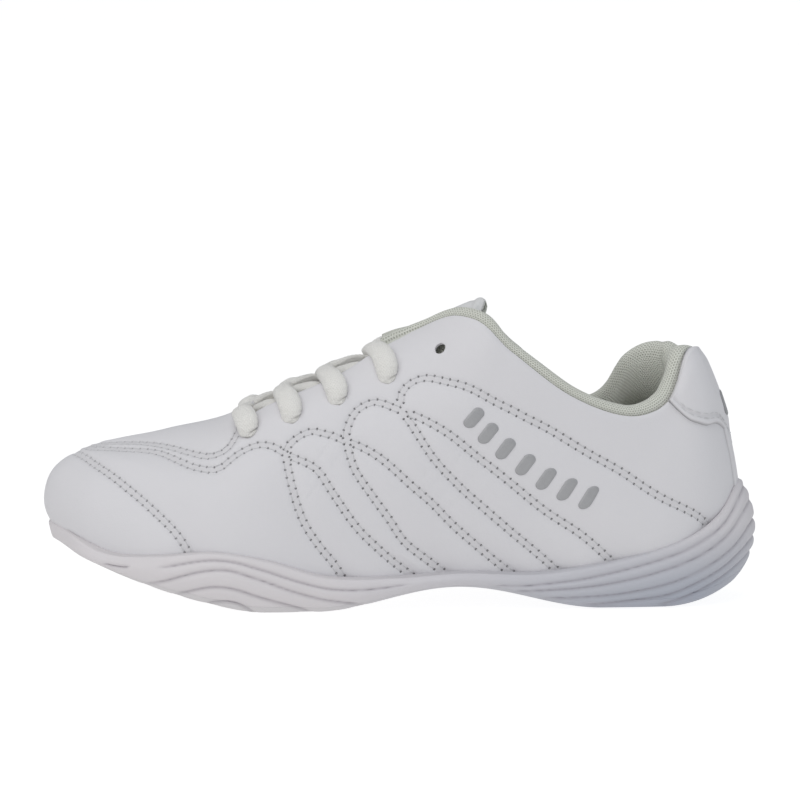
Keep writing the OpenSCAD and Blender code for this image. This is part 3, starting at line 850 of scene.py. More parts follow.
# Cross-section of the padded roll: out from the leather's face, and up past its edge
ROLL = [(-1.3, -4.5), (-1.15, -1.2), (-0.95, 0.1), (-0.35, 1.0), (-0.1, 2.2), (-0.75, 3.6), (-2.3, 4.6),
        (-4.4, 4.7), (-6.4, 3.6), (-7.9, 1.2), (-8.8, -2.6), (-9.2, -8), (-8.9, -14), (-7.4, -19),
        (-5.3, -22.5), (-4.2, -22.5), (-3.6, -14), (-3.0, -7), (-2.0, -5)]
ROLL_POINTS = 64
FOAM_SHARE, FOAM_ENDS = 0.72, 6      # padding inside the roll, ending this many rings short


def closed_curve(points, n):
    """n points round a smooth closed curve through the given ones."""
    p = np.array(points, float)
    x = np.arange(n) * len(p) / n
    i = np.floor(x).astype(int)
    return catmull(*(p[(i + s) % len(p)] for s in (-1, 0, 1, 2)), (x - i)[:, None])


def collar_path():
    """Round the collar from the lateral throat to the medial one, with u falling through zero at the heel."""
    half = resample(spline(COLLAR_PATH), 1.3)
    other = half[::-1][1:] * [-1, 1]
    return np.concatenate([half, other])


def down_the_skin(q, drop):
    """Points on the upper, and its normals, at distances drop (path by section) below the path q."""
    u, t = q[:, 0], q[:, 1]
    slope = np.linalg.norm(surf(u, t - 0.1) - surf(u, t - 0.2), axis=-1) / 0.1
    low = t[:, None] - drop / slope[:, None]
    return surf(u[:, None] + 0 * low, low), surf_normal(u[:, None] + 0 * low, low)


def eased(v, reach=4):
    """Directions along a path, averaged over their neighbours."""
    padded = np.pad(v, ((reach, reach), (0, 0)), "edge")
    return unit(sum(padded[k:k + len(v)] for k in range(2 * reach + 1)))


def loop_solid(rings):
    """Closed solid through rings of points, with a fan over each end."""
    count, n = rings.shape[:2]
    faces = ring_quads(count, n).tolist()
    first, last = count * n, count * n + 1
    points = np.concatenate([rings.reshape(-1, 3), [rings[0].mean(0), rings[-1].mean(0)]])
    for j in range(n):
        k = (j + 1) % n
        faces.append([first, j, k])
        faces.append([last, (count - 1) * n + k, (count - 1) * n + j])
    return points, outward(points, faces)


def tube_uv(along, around):
    """Weave positions for a loop_solid, with one more for the middle of each end."""
    uv = np.stack(np.meshgrid(along, around, indexing="ij"), -1).reshape(-1, 2)
    return np.concatenate([uv, [[0, 0], [along[-1], 0]]])


def collar_rings(q):
    """Cross-sections of the padded roll along q, and the distances along and around it."""
    centre, n = surf(q[:, 0], q[:, 1]), surf_normal(q[:, 0], q[:, 1])
    beyond = unit(np.cross(n, unit(np.gradient(centre, axis=0))))
    beyond = eased(beyond * np.sign(beyond[:, 2:3].mean()))
    s = run_length(centre)
    section = closed_curve(ROLL, ROLL_POINTS)
    f = fold(q[:, 0])
    depth = np.interp(f, [0, 1.2, 2, 5.2, 6.4, 7.45], [1.3, 1.2, 1.0, 0.8, 0.5, 0.42])
    drop = np.interp(f, [0, 2, 5.0, 6.2, 7.45], [1.0, 0.85, 0.85, 0.4, 0.3])
    rise = np.interp(f, [0, 1.0, 1.7, 2.2, 3, 7, 7.45], [0.75, 0.95, 1.1, 1.2, 0.88, 0.85, 0.75])
    lift = np.interp(f, [6.0, 6.6, 7.0, 7.45], [0, 1.2, 2.8, 3.4])
    x, y = section[None, :, 0], section[None, :, 1]
    up = np.where(y > 0, y * rise[:, None], y * drop[:, None])
    out = x * depth[:, None] + lift[:, None] * smooth(y, -1.0, 1.5)
    plump = 0.16 * np.sin(s / 5.3)[:, None] * np.clip(y / 4, 0, 1)
    base, base_n = down_the_skin(q, np.maximum(-up, 0))
    rings = base + base_n * out[..., None] + beyond[:, None] * (np.maximum(up, 0) + plump)[..., None]
    return rings, s, run_length(section)


def build_collar(material, foam):
    rings, along, around = collar_rings(collar_path())
    lining = make_piece("collar_lining", *loop_solid(rings), material, tube_uv(along, around))
    place(lining, "rearfoot", "lining_mesh", ("collar_lining",))
    core = rings.mean(1, keepdims=True)
    inner = core + (rings - core) * FOAM_SHARE
    padding = make_piece("collar_foam", *loop_solid(inner[FOAM_ENDS:-FOAM_ENDS]), foam)
    place(padding, "rearfoot", "padding_foam", ("collar_foam",))


TAB_LINE = spline(TAB_EDGE)


def tab_low(u):
    return lookup(u, TAB_LINE)


def tab_top(u):
    return np.interp(fold(u), [0, 0.9, 1.4, 1.75, 2.05], [0.985, 0.985, 0.985, 0.98, 0.962])


TAB_U = 2.02                    # how far round from the heel the tab reaches
TAB_RISE = 2.5
TAB_SEAM = 3.4                  # from the tab's lower edge to the groove between its two rows of stitches
TAB_ROWS = (2.5, 4.3)


def tab_grid(nu, nt):
    a, b = grid(nu, nt, -1)
    u = TAB_U * a
    return u, mix(tab_low(u), tab_top(u), b)


def above_tab_edge(u, t):
    """Distance from the tab's lower edge, straight up the heel."""
    return np.linalg.norm(surf(u, t) - surf(u, tab_low(u)), axis=-1)


def tab_height(u, t):
    """Raised, rounded face of the heel tab: full height inside, rolling down at every edge."""
    low = above_tab_edge(u, t)
    high = np.linalg.norm(surf(u, t) - surf(u, tab_top(u)), axis=-1)
    roll = rounded(np.minimum(low * 0.9, high), 1.3)
    groove = -0.35 * bell(low - TAB_SEAM, 0.7)
    pad = 0.9 * smooth(low, 4, 12) * smooth(high, 0, 7)
    return TAB_RISE * roll * (0.75 + 0.25 * smooth(np.abs(u), 0.3, 0.7)) + groove + pad - 0.1


TAB_POINTS = tab_grid(120, 50)
TAB_TREE = tree_of(surf(*TAB_POINTS).reshape(-1, 3))
TAB_HEIGHTS = tab_height(*TAB_POINTS).ravel()


def tab_relief_at(base):
    """Height of the tab's face at points of the upper."""
    nearest = [TAB_TREE.find(p)[1] for p in base.reshape(-1, 3)]
    return TAB_HEIGHTS[nearest].reshape(base.shape[:-1])


def tab_stitch_rows():
    u = np.linspace(-1.7, 1.7, 400)
    line = np.stack([u, tab_low(u)], -1)
    span = np.linalg.norm(surf(u, line[:, 1] + 0.01) - surf(u, line[:, 1]), axis=-1)
    return [resample(np.stack([u, line[:, 1] + 0.01 * inset / span], -1), STITCH_PITCH) for inset in TAB_ROWS]


def build_tab(leather, thread):
    u, t = tab_grid(150, 60)
    low = above_tab_edge(u, t)
    # painted shade: dark under the tab's raised lower edge, which also stands for its darker raw edge, and grey
    # along the stitch groove
    shade = {"needle": 0.8 * bell(low, 0.55), "seam": bell(low - TAB_SEAM, 1.2)}
    tab = sheet("heel_tab", at(u, t, tab_height(u, t)), at(u, t, -1.0 + 0 * u), leather, None, shade)
    place(tab, "rearfoot", "upper_leather", ("heel_tab",))
    stitching("heel_stitching", tab_stitch_rows(), -1, thread, "rearfoot", tab_relief_at)


BACKSTAY_U = 0.34
BACKSTAY_HALF = 9.0             # rough half width in millimetres, for its rolled edges
BACKSTAY_LAP = 0.06             # how far it runs up under the tab, in t


def build_backstay(leather):
    a, b = grid(31, 61, -1)
    u = BACKSTAY_U * a
    t = mix(0.0, tab_low(u) + BACKSTAY_LAP, b)
    edge = (1 - np.abs(a)) * BACKSTAY_HALF
    # painted shade at the strip's rolled edges, darkest right at the edge, which also stands for its darker raw
    # edge
    shade = {"needle": 0.5 * bell(edge, 0.4), "seam": bell(edge, 0.8)}
    outer = at(u, t, 1.7 * rounded(edge, 1.2) - 0.1)
    strip = sheet("backstay", outer, at(u, t, -1.0 + 0 * u), leather, None, shade)
    place(strip, "rearfoot", "upper_leather", ("backstay",))


# The heel mark: t of its middle, half its width in u and half its height in t
MARK_CENTRE, MARK_U, MARK_T = 0.69, 0.21, 0.055


def build_heel_mark(silver):
    """A rounded foil patch on the tab, with shallow bars."""
    a, b = grid(41, 25, -1, -1)
    corner = np.maximum(np.abs(a), np.abs(b)) / np.maximum((a**4 + b**4) ** 0.25, 1e-6)
    a, b = a * corner, b * corner
    u, t = MARK_U * a, MARK_CENTRE + MARK_T * b
    rim = np.clip(1 - np.maximum(np.abs(a), np.abs(b)), 0, 1)
    dome = tab_height(u, t) + 0.1 + 0.3 * rounded(rim, 0.2)
    bars = -0.25 * smooth(np.cos(a * 3 * math.pi), 0.4, 0.9) * smooth(rim, 0.1, 0.3)
    mark = sheet("heel_mark", at(u, t, dome + bars), at(u, t, tab_height(u, t) - 0.2), silver)
    place(mark, "rearfoot", "silver_foil", ("heel_mark",))


# ---- Marks: a row of plain rounded dashes ----

MARK_START, MARK_END = (3.32, 0.455), (5.62, 0.625)
DASHES, DASH_POINTS = 7, 28
DASH_LENGTH, DASH_WIDTH, DASH_LEAN = 9.2, 4.6, 0.35
DASH_RINGS = ((1.0, -0.3), (1.0, 0.18), (0.9, 0.34), (0.55, 0.38), (0.02, 0.38))    # share of size, height


def dash_outline():
    """A long rounded outline leaning towards the toe, in millimetres round its centre."""
    a = turns(DASH_POINTS)
    ends = np.sign(np.sin(a)) * (np.abs(np.sin(a)) > 1e-9)
    x = np.cos(a) * DASH_WIDTH / 2
    y = ends * (DASH_LENGTH - DASH_WIDTH) / 2 + np.sin(a) * DASH_WIDTH / 2
    return -(x + DASH_LEAN * y), y


def dash(k, side):
    """Solid of one dash, k of the row, on the outer (side < 0) or inner side."""
    x, y = dash_outline()
    centre = mix(np.array(MARK_START), np.array(MARK_END), (k + 0.5) / DASHES)
    q = np.repeat([centre], DASH_POINTS, 0)
    su, st = slopes(q)
    step = unit(su) * x[:, None] + unit(st) * y[:, None]
    if side > 0:
        q = np.stack([RING_N - q[:, 0], q[:, 1]], -1)
        step = step * [1, -1, 1]
    rings = []
    for scale, lift in DASH_RINGS:
        u, t = slide(q, step * scale).T
        base = surf(u, t)
        rings.append(base + surf_normal(u, t) * (skin_height(base) + lift)[:, None])
    return loop_solid(np.array(rings))


def build_side_mark(name, side, material):
    piece = make_piece(name, *merge(dash(k, side) for k in range(DASHES)), material)
    place(piece, "rearfoot", "silver_foil", (name,))


# ---- Tongue ----

TONGUE_DEPTH = 2.7              # from the skin's face down to the tongue's


def throat_patch(u0, u1, edge):
    def patch(a, b):
        u = mix(u0, u1, a)
        near = b <= 0.5
        return np.where(near, u, RING_N - u), np.where(near, mix(edge, 1, 2 * b), mix(1, edge, 2 * b - 1))
    return patch


def tongue_bulge(a, b, u, t):
    hollow = 2.6 * np.sin(np.pi * np.clip(b, 0, 1)) ** 1.5
    waves = 0.35 * wave(fold(u) - 7.1, 0.68)
    return (waves * np.sin(np.pi * b) - hollow) * smooth(a, 0, 0.06)


TONGUE_ROOT, TONGUE_TIP = np.array([-8.0, 90.5]), np.array([31.5, 114.0])


def flap(a, b, off):
    """Free end of the tongue: a crowned, padded peak between root and tip, narrowing to a rounded point."""
    d = TONGUE_TIP - TONGUE_ROOT
    n = np.array([-d[1], d[0]]) / np.linalg.norm(d)
    s = 1 - 2 * b
    tip = smooth(a, 0.72, 1.0)
    half = np.interp(a, [0, 0.12, 0.4, 0.7, 0.85, 0.95, 1.0], [6, 6, 8.5, 12, 12, 10.5, 8.0])
    arch = 2.4 * np.sin(np.pi * a) + off
    x = TONGUE_ROOT[0] + a * d[0] + n[0] * arch - 0.1 * off * s * s - tip * 3.2 * s * s
    z = TONGUE_ROOT[1] + a * d[1] + n[1] * arch - 4 * s * s - 2 * a * a * s * s - 1.5 * tip * s * s
    return np.stack([x, -half * s, z], -1)


TONGUE_SEAM = 3.2               # from the flap's edge to the ridge beside its binding


def build_tongue(leather, mesh_cloth, foam):
    inside = throat_patch(7.1, 9.35, 0.72)
    for name, patch, nu, nt, out, inn, material, slot, bulge in (
            ("tongue_leather", throat_patch(7.0, 9.5, 0.7), 90, 60, 0.0, 1.0, leather, "upper_leather",
             tongue_bulge),
            ("tongue_foam", inside, 40, 30, 1.7, 3.6, foam, "padding_foam", None),
            ("tongue_lining", inside, 60, 40, 4.0, 4.6, mesh_cloth, "lining_mesh", None)):
        piece = panel(name, patch, nu, nt, -TONGUE_DEPTH - out, -TONGUE_DEPTH - inn, material, bulge)
        place(piece, "flex", slot, (name,))


def build_tongue_flap(leather, mesh_cloth):
    a, b = grid(90, 60)
    edge = np.minimum(np.minimum(b, 1 - b) * 22, (1 - a) * 40)
    roll = rounded(edge, 1.8)
    ridge = -0.35 * bell(edge - TONGUE_SEAM, 0.7)
    inner = flap(a, b, -1.6 + 0 * a)
    # painted shade along the groove beside the binding; the flap has no hole shade
    shade = {"needle": np.zeros(a.shape), "seam": bell(edge - TONGUE_SEAM, 1.0)}
    top = sheet("tongue_top", flap(a, b, -1.2 + 1.5 * roll + ridge), inner, leather, None, shade)
    place(top, "tongue", "upper_leather", ("tongue_top",))
    lining = sheet("tongue_top_lining", flap(a, b, -1.65 + 0 * a), flap(a, b, -1.9 - 3.2 * roll), mesh_cloth,
                   grid_uv(inner))
    place(lining, "tongue", "lining_mesh", ("tongue_top_lining",))


# ---- Laces ----

LACE_SIDES, LACE_WEAVE = 20, 1.5
LACED_HOLES = 4


def plump(x):
    """A sine or cosine squared off a little, for a fuller section."""
    return np.sign(x) * np.abs(x) ** 0.85


def lace_tube(path, up, width, thick, phase=0.0):
    """A plump flat lace along a path: rounded section, wider across than it is thick."""
    across = unit(np.cross(unit(np.gradient(path, axis=0)), up))
    lift = unit(np.cross(across, unit(np.gradient(path, axis=0))))
    a, s = turns(LACE_SIDES), run_length(path)
    x, y = plump(np.cos(a)), plump(np.sin(a))
    twist = s[:, None] * 2 * math.pi / LACE_WEAVE
    weave = 0.07 * np.sin(twist + 3 * a[None, :] + phase)
    weave = weave + 0.07 * np.sin(twist - 3 * a[None, :])
    w, h = width[:, None] / 2 + weave, thick[:, None] / 2 + weave
    rings = path[:, None] + across[:, None] * (w * x)[..., None] + lift[:, None] * (h * y)[..., None]
    return *loop_solid(rings), tube_uv(s, a * width.max() / 2)


def dense(values, n):
    """A smooth open curve through rows of values, with n points."""
    p = np.array(values, float)
    p = np.vstack([2 * p[0] - p[1], p, 2 * p[-1] - p[-2]])
    x = np.linspace(0, len(p) - 3.000001, n)
    i = np.floor(x).astype(int)
    return catmull(*(p[i + s] for s in range(4)), (x - i)[:, None])


# One leg of the lace, from its hole to the next on the far side: shift in u, t, height, width and thickness.
# Up to the crest, t is added to the hole's own; the far end dives under the other edge.
LEG_NEAR = [(-0.03, 0.01, -4.4, 4.2, 2.2), (-0.03, -0.002, -2.0, 4.8, 2.8), (-0.03, -0.018, 0.3, 7.2, 4.0),
            (0.02, 0.02, 2.2, 8.8, 4.9), (0.14, 0.08, 2.5, 8.6, 4.8), (0.28, 0.145, 1.8, 7.8, 4.4),
            (0.4, 0.23, 0.5, 7.4, 4.0)]
LEG_CREST = (0.44, 1.0, -0.5, 7.2, 3.9)
LEG_FAR = [(0.27, 0.95, -0.4, 7.2, 3.8), (0.0, 0.88, -0.8, 7.0, 3.4), (-0.3, 0.81, -2.8, 6.2, 2.6),
           (-0.56, 0.75, -4.0, 5.6, 2.2)]
UNDER_DROP = 2.3                # the leg that starts on the inner side passes below the other


def lace_leg(k, side):
    """Rows of u, t, height, width and thickness of the leg that leaves hole k on one side."""
    u0, t0 = EYELETS[k]
    drop = 0.0 if side < 0 else UNDER_DROP
    near = [(u0 + du, t0 + dt, h - drop * smooth(dt, 0.12, 0.24), w, b) for du, dt, h, w, b in LEG_NEAR]
    du, t, h, w, b = LEG_CREST
    near.append((u0 + du, t, h - drop, w, b))
    far = [(u0 + du, t, h - drop * smooth(t, 0.8, 0.93), w, b) for du, t, h, w, b in LEG_FAR]
    return (near + across_ridge(far)) if side < 0 else (across_ridge(near) + far)


def across_ridge(rows):
    return [(RING_N - u, *rest) for u, *rest in rows]


def lace_path(rows, n):
    """Points, up directions, widths and thicknesses through the rows, which may lie on both sides."""
    d = dense([[*at(u, t, h), *surf_normal(u, min(t, 1.0)), w, k] for u, t, h, w, k in rows], n)
    return d[:, :3], unit(d[:, 3:6]), d[:, 6], d[:, 7]


def build_laces(material):
    tubes = [lace_tube(*lace_path(lace_leg(k, side), 170), k + side)
             for k in range(LACED_HOLES) for side in (-1, 1)]
    u0, t0 = EYELETS[0]
    half = [(u0, t0, -3.6, 5.0, 2.6), (u0 - 0.02, 0.74, -3.4, 6.0, 2.8), (u0 - 0.02, 0.86, -3.8, 6.0, 2.8)]
    bar = half + [(u0, 1.0, -4.2, 6.0, 2.8)] + across_ridge(half[::-1])
    tubes.append(lace_tube(*lace_path(bar, 90)))
    points, faces = merge(tube[:2] for tube in tubes)
    obj = make_piece("lace", points, faces, material, np.concatenate([tube[2] for tube in tubes]))
    place(obj, "flex", "lace_cotton", ("lace",))


# ---- Linings and stiffeners inside ----

def band(u0, u1, low, high):
    """A patch of the upper from u0 to u1, and up to a level or to a line high(u)."""
    def patch(a, b):
        u = mix(u0, u1, a)
        return u, mix(low, high(u) if callable(high) else high, b)
    return patch


def mirrored(patch):
    def other(a, b):
        u, t = patch(1 - a, b)
        return RING_N - u, t
    return other


def lining_top(u):
    return lookup(u, [(0, 0.74), (5.2, 0.76), (6.0, 0.9), (6.9, 0.86), (9.3, 0.72)])


def foam_top(u):
    return lookup(u, [(2.6, 0.68), (5.3, 0.68), (7.6, 0.5)])


def build_inside(mesh_cloth, foam, board, eyelet_shade_tape):
    """Layers under the skin: patch, steps along and up, outer and inner offset, material and body."""
    knit, padding = (mesh_cloth, "lining_mesh"), (foam, "padding_foam")
    stiff, stay = (board, "stiffener_board"), (eyelet_shade_tape, "stay_tape")
    layers = []
    for end, flip in (("_lateral", lambda patch: patch), ("_medial", mirrored)):
        layers += [
            ("quarter_lining" + end, flip(band(2.5, 9.3, 0.03, lining_top)), 130, 40, -4.4, -5.0, knit, "flex"),
            ("quarter_foam" + end, flip(band(2.6, 7.6, 0.04, foam_top)), 60, 16, -2.3, -4.1, padding, "flex"),
            # the near-black stay tape stands for the shade seen inside the eyelet holes
            ("eyelet_stay" + end, flip(band(6.75, 9.25, 0.58, 0.76)), 60, 12, -1.5, -2.0, stay, "flex")]
    layers += [
        ("heel_lining", band(-2.52, 2.52, 0.03, 0.78), 70, 34, -4.4, -5.0, knit, "rearfoot"),
        ("vamp_lining", band(9.35, RING_N - 9.35, 0.04, 0.995), 90, 30, -2.7, -3.3, knit, "flex"),
        ("heel_counter", band(-2.3, 2.3, 0.03, 0.6), 60, 24, -1.6, -2.6, stiff, "rearfoot"),
        ("toe_puff", band(10.2, RING_N - 10.2, 0.04, 0.4), 60, 14, -1.6, -2.4, stiff, "flex")]
    for name, patch, nu, nt, out, inn, (material, slot), body in layers:
        place(panel(name, patch, nu, nt, out, inn, material), body, slot, (name,))


# ---- Sole ----

GROOVES = [
    [(10.1, 0.6), (9.57, 0.76), (9.07, 0.85), (8.6, 0.87), (8.12, 0.82), (7.68, 0.75), (7.23, 0.69),
     (6.8, 0.62), (6.25, 0.55), (5.7, 0.55)],
    [(10.45, -0.1), (9.9, 0.24), (9.55, 0.45), (9.22, 0.59), (8.9, 0.67), (8.6, 0.69), (8.1, 0.61),
     (7.65, 0.48), (7.23, 0.36), (6.8, 0.2), (6.3, -0.1)],
    [(9.85, -0.1), (9.22, 0.23), (8.82, 0.35), (8.4, 0.34), (7.95, 0.23), (7.5, 0.09), (7.1, -0.1)],
    [(9.3, -0.1), (8.85, 0.07), (8.5, 0.1), (8.0, -0.1)],
    [(4.7, 0.1), (4.48, 0.25), (3.9, 0.62), (3.48, 0.73), (3.08, 0.79), (2.63, 0.83), (2.15, 0.86),
     (1.6, 0.88), (1.0, 0.9), (0.4, 0.93), (-0.4, 0.93)],
    [(4.45, -0.1), (3.9, 0.35), (3.48, 0.5), (3.08, 0.56), (2.63, 0.61), (2.15, 0.67), (1.57, 0.71),
     (1.0, 0.75), (0.4, 0.79), (-0.4, 0.79)],
    [(4.1, -0.1), (3.48, 0.2), (2.93, 0.28), (2.48, 0.35), (2.0, 0.43), (1.32, 0.51), (0.75, 0.56),
     (0.3, 0.6), (-0.4, 0.6)],
    [(3.6, -0.1), (2.9, 0.07), (2.3, 0.16), (1.78, 0.27), (1.05, 0.36), (0.5, 0.41), (-0.4, 0.42)],
    [(2.6, -0.1), (2.0, 0.06), (1.5, 0.14), (0.9, 0.21), (0.4, 0.24), (-0.4, 0.25)],
]
TOE_SLIT = [(11.15, 0.36), (10.9, 0.42), (10.65, 0.5), (10.5, 0.6)]
SKIRT = 0.1                     # share of the wall that belongs to the outsole
GROOVE_WIDTH, GROOVE_DEPTH = 2.9, 1.55


def groove_samples():
    """Points along every groove of both sides, with the share of full depth at each."""
    cloud, share = [], []
    for line in GROOVES + [TOE_SLIT]:
        q = dense(line, 160)
        s = run_length(wall(q[:, 0], q[:, 1]))
        ends = s if line[-1][0] < 0 else np.minimum(s, s[-1] - s)
        for u in (q[:, 0], RING_N - q[:, 0]):
            cloud.append(wall(u, q[:, 1]))
            share.append(smooth(ends, 0, 3 if line is TOE_SLIT else 9))
    return np.concatenate(cloud), np.concatenate(share)


def wall_relief(base):
    """Moulded waves of the sole wall, ridges with narrow valleys: the depth, and a shade for the valleys."""
    cloud, share = groove_samples()
    tree = tree_of(cloud)
    found = [tree.find(p) for p in base.reshape(-1, 3)]
    d = np.array([f[2] for f in found])
    fade = share[[f[1] for f in found]]
    depth = -GROOVE_DEPTH * fade * (1 - rounded(d, GROOVE_WIDTH))
    return depth.reshape(base.shape[:-1]), (bell(d, 0.7) * fade).reshape(base.shape[:-1])


SOLE_N = 720                    # points round the sole
TREAD_ACROSS = 44


def build_sole(material, rubber):
    u = np.arange(SOLE_N) * RING_N / SOLE_N
    s = np.linspace(0.0, 1.0, 76)
    uu, ss = np.meshgrid(u, s, indexing="ij")
    base = wall(uu, ss)
    e = 0.01
    n = unit(np.cross(wall(uu, ss + e) - wall(uu, ss - e), wall(uu + e, ss) - wall(uu - e, ss)))
    relief, valley = wall_relief(base)
    lip = -0.9 * (1 - rounded(1 - ss, 0.09))
    skin = base + n * (relief * smooth(1 - ss, 0, 0.05) + lip)[..., None]
    cut = int(np.argmax(s >= SKIRT))
    top_t = t_at_z(u, row(u)[:, 10])
    lip_ring = [at(u, top_t, 1.3) + [0, 0, 0.35], at(u, top_t, 0.7) + [0, 0, -0.3]]
    inside = [at(u, top_t * f, 0.45) for f in (0.6, 0.0)]
    r = row(u)
    foot = np.stack([r[:, 0], r[:, 1], 0 * u], -1)
    pn = plan_normal(u)

    def floor_ring(inset, lift):
        p = foot - inset * pn
        p[:, 2] = bottom_z(p[:, 0]) + lift
        return p

    rings = [floor_ring(6, OUTSOLE_T + 0.5), floor_ring(0, OUTSOLE_T + 0.5)]
    rings += [skin[:, k] for k in range(cut, len(s))] + lip_ring + inside
    points, faces = capped_rings(np.array(rings))
    # painted shade in the groove valleys of the midsole wall
    groove_shade = np.concatenate([np.zeros((2, SOLE_N)), valley.T[cut:], np.zeros((4, SOLE_N))])
    mid = make_piece("midsole", points, faces, material, None, None, {"valley": groove_shade.ravel()})
    place(mid, "flex", "midsole_foam", ("midsole_front", "midsole_rear"))

    bottom = build_tread(floor_ring, skin[:, :cut + 1], valley[:, :cut + 1])
    out = make_piece("outsole", *bottom[:2], rubber, None, None, {"valley": bottom[2]})
    place(out, "flex", "outsole_rubber", ("outsole_front", "outsole_rear"))


def capped_rings(rings):
    """Closed solid through rings round the shoe, the first and last closed across from side to side."""
    count, n = rings.shape[:2]
    faces = ring_quads(count, n)[:, [0, 3, 2, 1]].tolist()
    for b, step in ((0, -1), ((count - 1) * n, 1)):
        for m in range(n // 2):
            q = list(dict.fromkeys([b + m, b + m + 1, b + (n - m - 1) % n, b + (n - m) % n]))
            if len(q) > 2:
                faces.append(q[::step])
    points = rings.reshape(-1, 3)
    return points, outward(points, faces)


def tread_relief(x, y):
    """Wave ribs across the sole with smooth pivot discs under the ball and the heel."""
    discs = np.minimum(np.hypot(x + 62, y + 1), np.hypot(x - 92, y))
    ribs = smooth(wave(x + 5 * np.sin(y / 9), 6.5), -0.25, 0.25) - 0.5
    rings = smooth(wave(discs, 6.0), -0.25, 0.25) - 0.5
    return 0.45 * mix(rings, ribs, smooth(discs, 21, 22))


def build_tread(floor_ring, skirt, valley):
    """Points, faces and valley shade of the outsole: its wall, and a fine grid of ribs on the ground side."""
    n, m, across = SOLE_N, SOLE_N // 2, TREAD_ACROSS
    down = [skirt[:, k] for k in range(skirt.shape[1] - 1, -1, -1)]
    below = [floor_ring(inset, lift) for inset, lift in ((-1.9, 0.45), (2.0, 0.25), (4.0, 0.0))]
    rings = [floor_ring(6, OUTSOLE_T), *down, *below]
    points, faces = capped_rings(np.array(rings))
    last = (len(rings) - 1) * n
    faces = [f for f in faces if not all(i >= last for i in f)]
    near, far = rings[-1][:m + 1], rings[-1][(-np.arange(m + 1)) % n]
    b = np.linspace(0, 1, across + 1)
    cells = near[:, None] * (1 - b[:, None]) + far[:, None] * b[:, None]
    fade = smooth(np.minimum(b, 1 - b)[None, :] * np.linalg.norm(near - far, axis=-1)[:, None], 0, 4)
    cells[..., 2] = bottom_z(cells[..., 0]) + (0.45 + tread_relief(cells[..., 0], cells[..., 1])) * fade
    inner = cells[1:m, 1:across].reshape(-1, 3)
    ids = np.zeros((m + 1, across + 1), int)
    ids[0], ids[m] = last, last + m
    rows = np.arange(1, m)
    ids[1:m, 0], ids[1:m, across] = last + rows, last + n - rows
    ids[1:m, 1:across] = len(points) + np.arange(len(inner)).reshape(m - 1, across - 1)
    for q in ids.ravel()[grid_faces(m + 1, across + 1)].tolist():
        q = list(dict.fromkeys(q))
        if len(q) > 2:
            faces.append(q)
    points = np.concatenate([points, inner])
    # painted shade in the groove valleys of the outsole skirt
    groove_shade = np.concatenate([np.zeros(n), valley[:, ::-1].T.ravel(), np.zeros(3 * n + len(inner))])
    return points, orient(points, faces), groove_shade


def orient(points, faces):
    """Turns the bottom faces to match the wall they join, then everything outwards."""
    mesh = bpy.data.meshes.new("orient")
    mesh.from_pydata(points.tolist(), [], faces)
    bm = bmesh.new()
    bm.from_mesh(mesh)
    bmesh.ops.recalc_face_normals(bm, faces=bm.faces)
    turned = [[v.index for v in f.verts] for f in bm.faces]
    bm.free()
    bpy.data.meshes.remove(mesh)
    return outward(points, turned)


def insole_layer(name, lift, thick, inset, crown, material, slot):
    """A sheet over the whole footbed, its rim raised by the crown. It stands for a front and a rear part."""
    a, b = grid(150, 40)
    u = mix(0.45, 12.55, a)
    near = row(u)[..., :3] - inset * plan_normal(u)
    far = row(RING_N - u)[..., :3] - inset * plan_normal(RING_N - u)
    outer = near * (1 - b[..., None]) + far * b[..., None]
    inner = outer.copy()
    cup = crown * (2 * b - 1) ** 4
    outer[..., 2] += lift + thick + cup
    inner[..., 2] += lift + 0.3 * cup
    piece = sheet(name, outer, inner, material, grid_uv(outer))
    place(piece, "flex", slot, (name + "_front", name + "_rear"))


def build_insole(cloth, board):
    insole_layer("sockliner", 2.3, 2.8, 6.5, 1.6, cloth, "sockliner_fabric")
    insole_layer("insole_board", 0.4, 1.5, 8.0, 0.0, board, "stiffener_board")


# ---- Materials ----

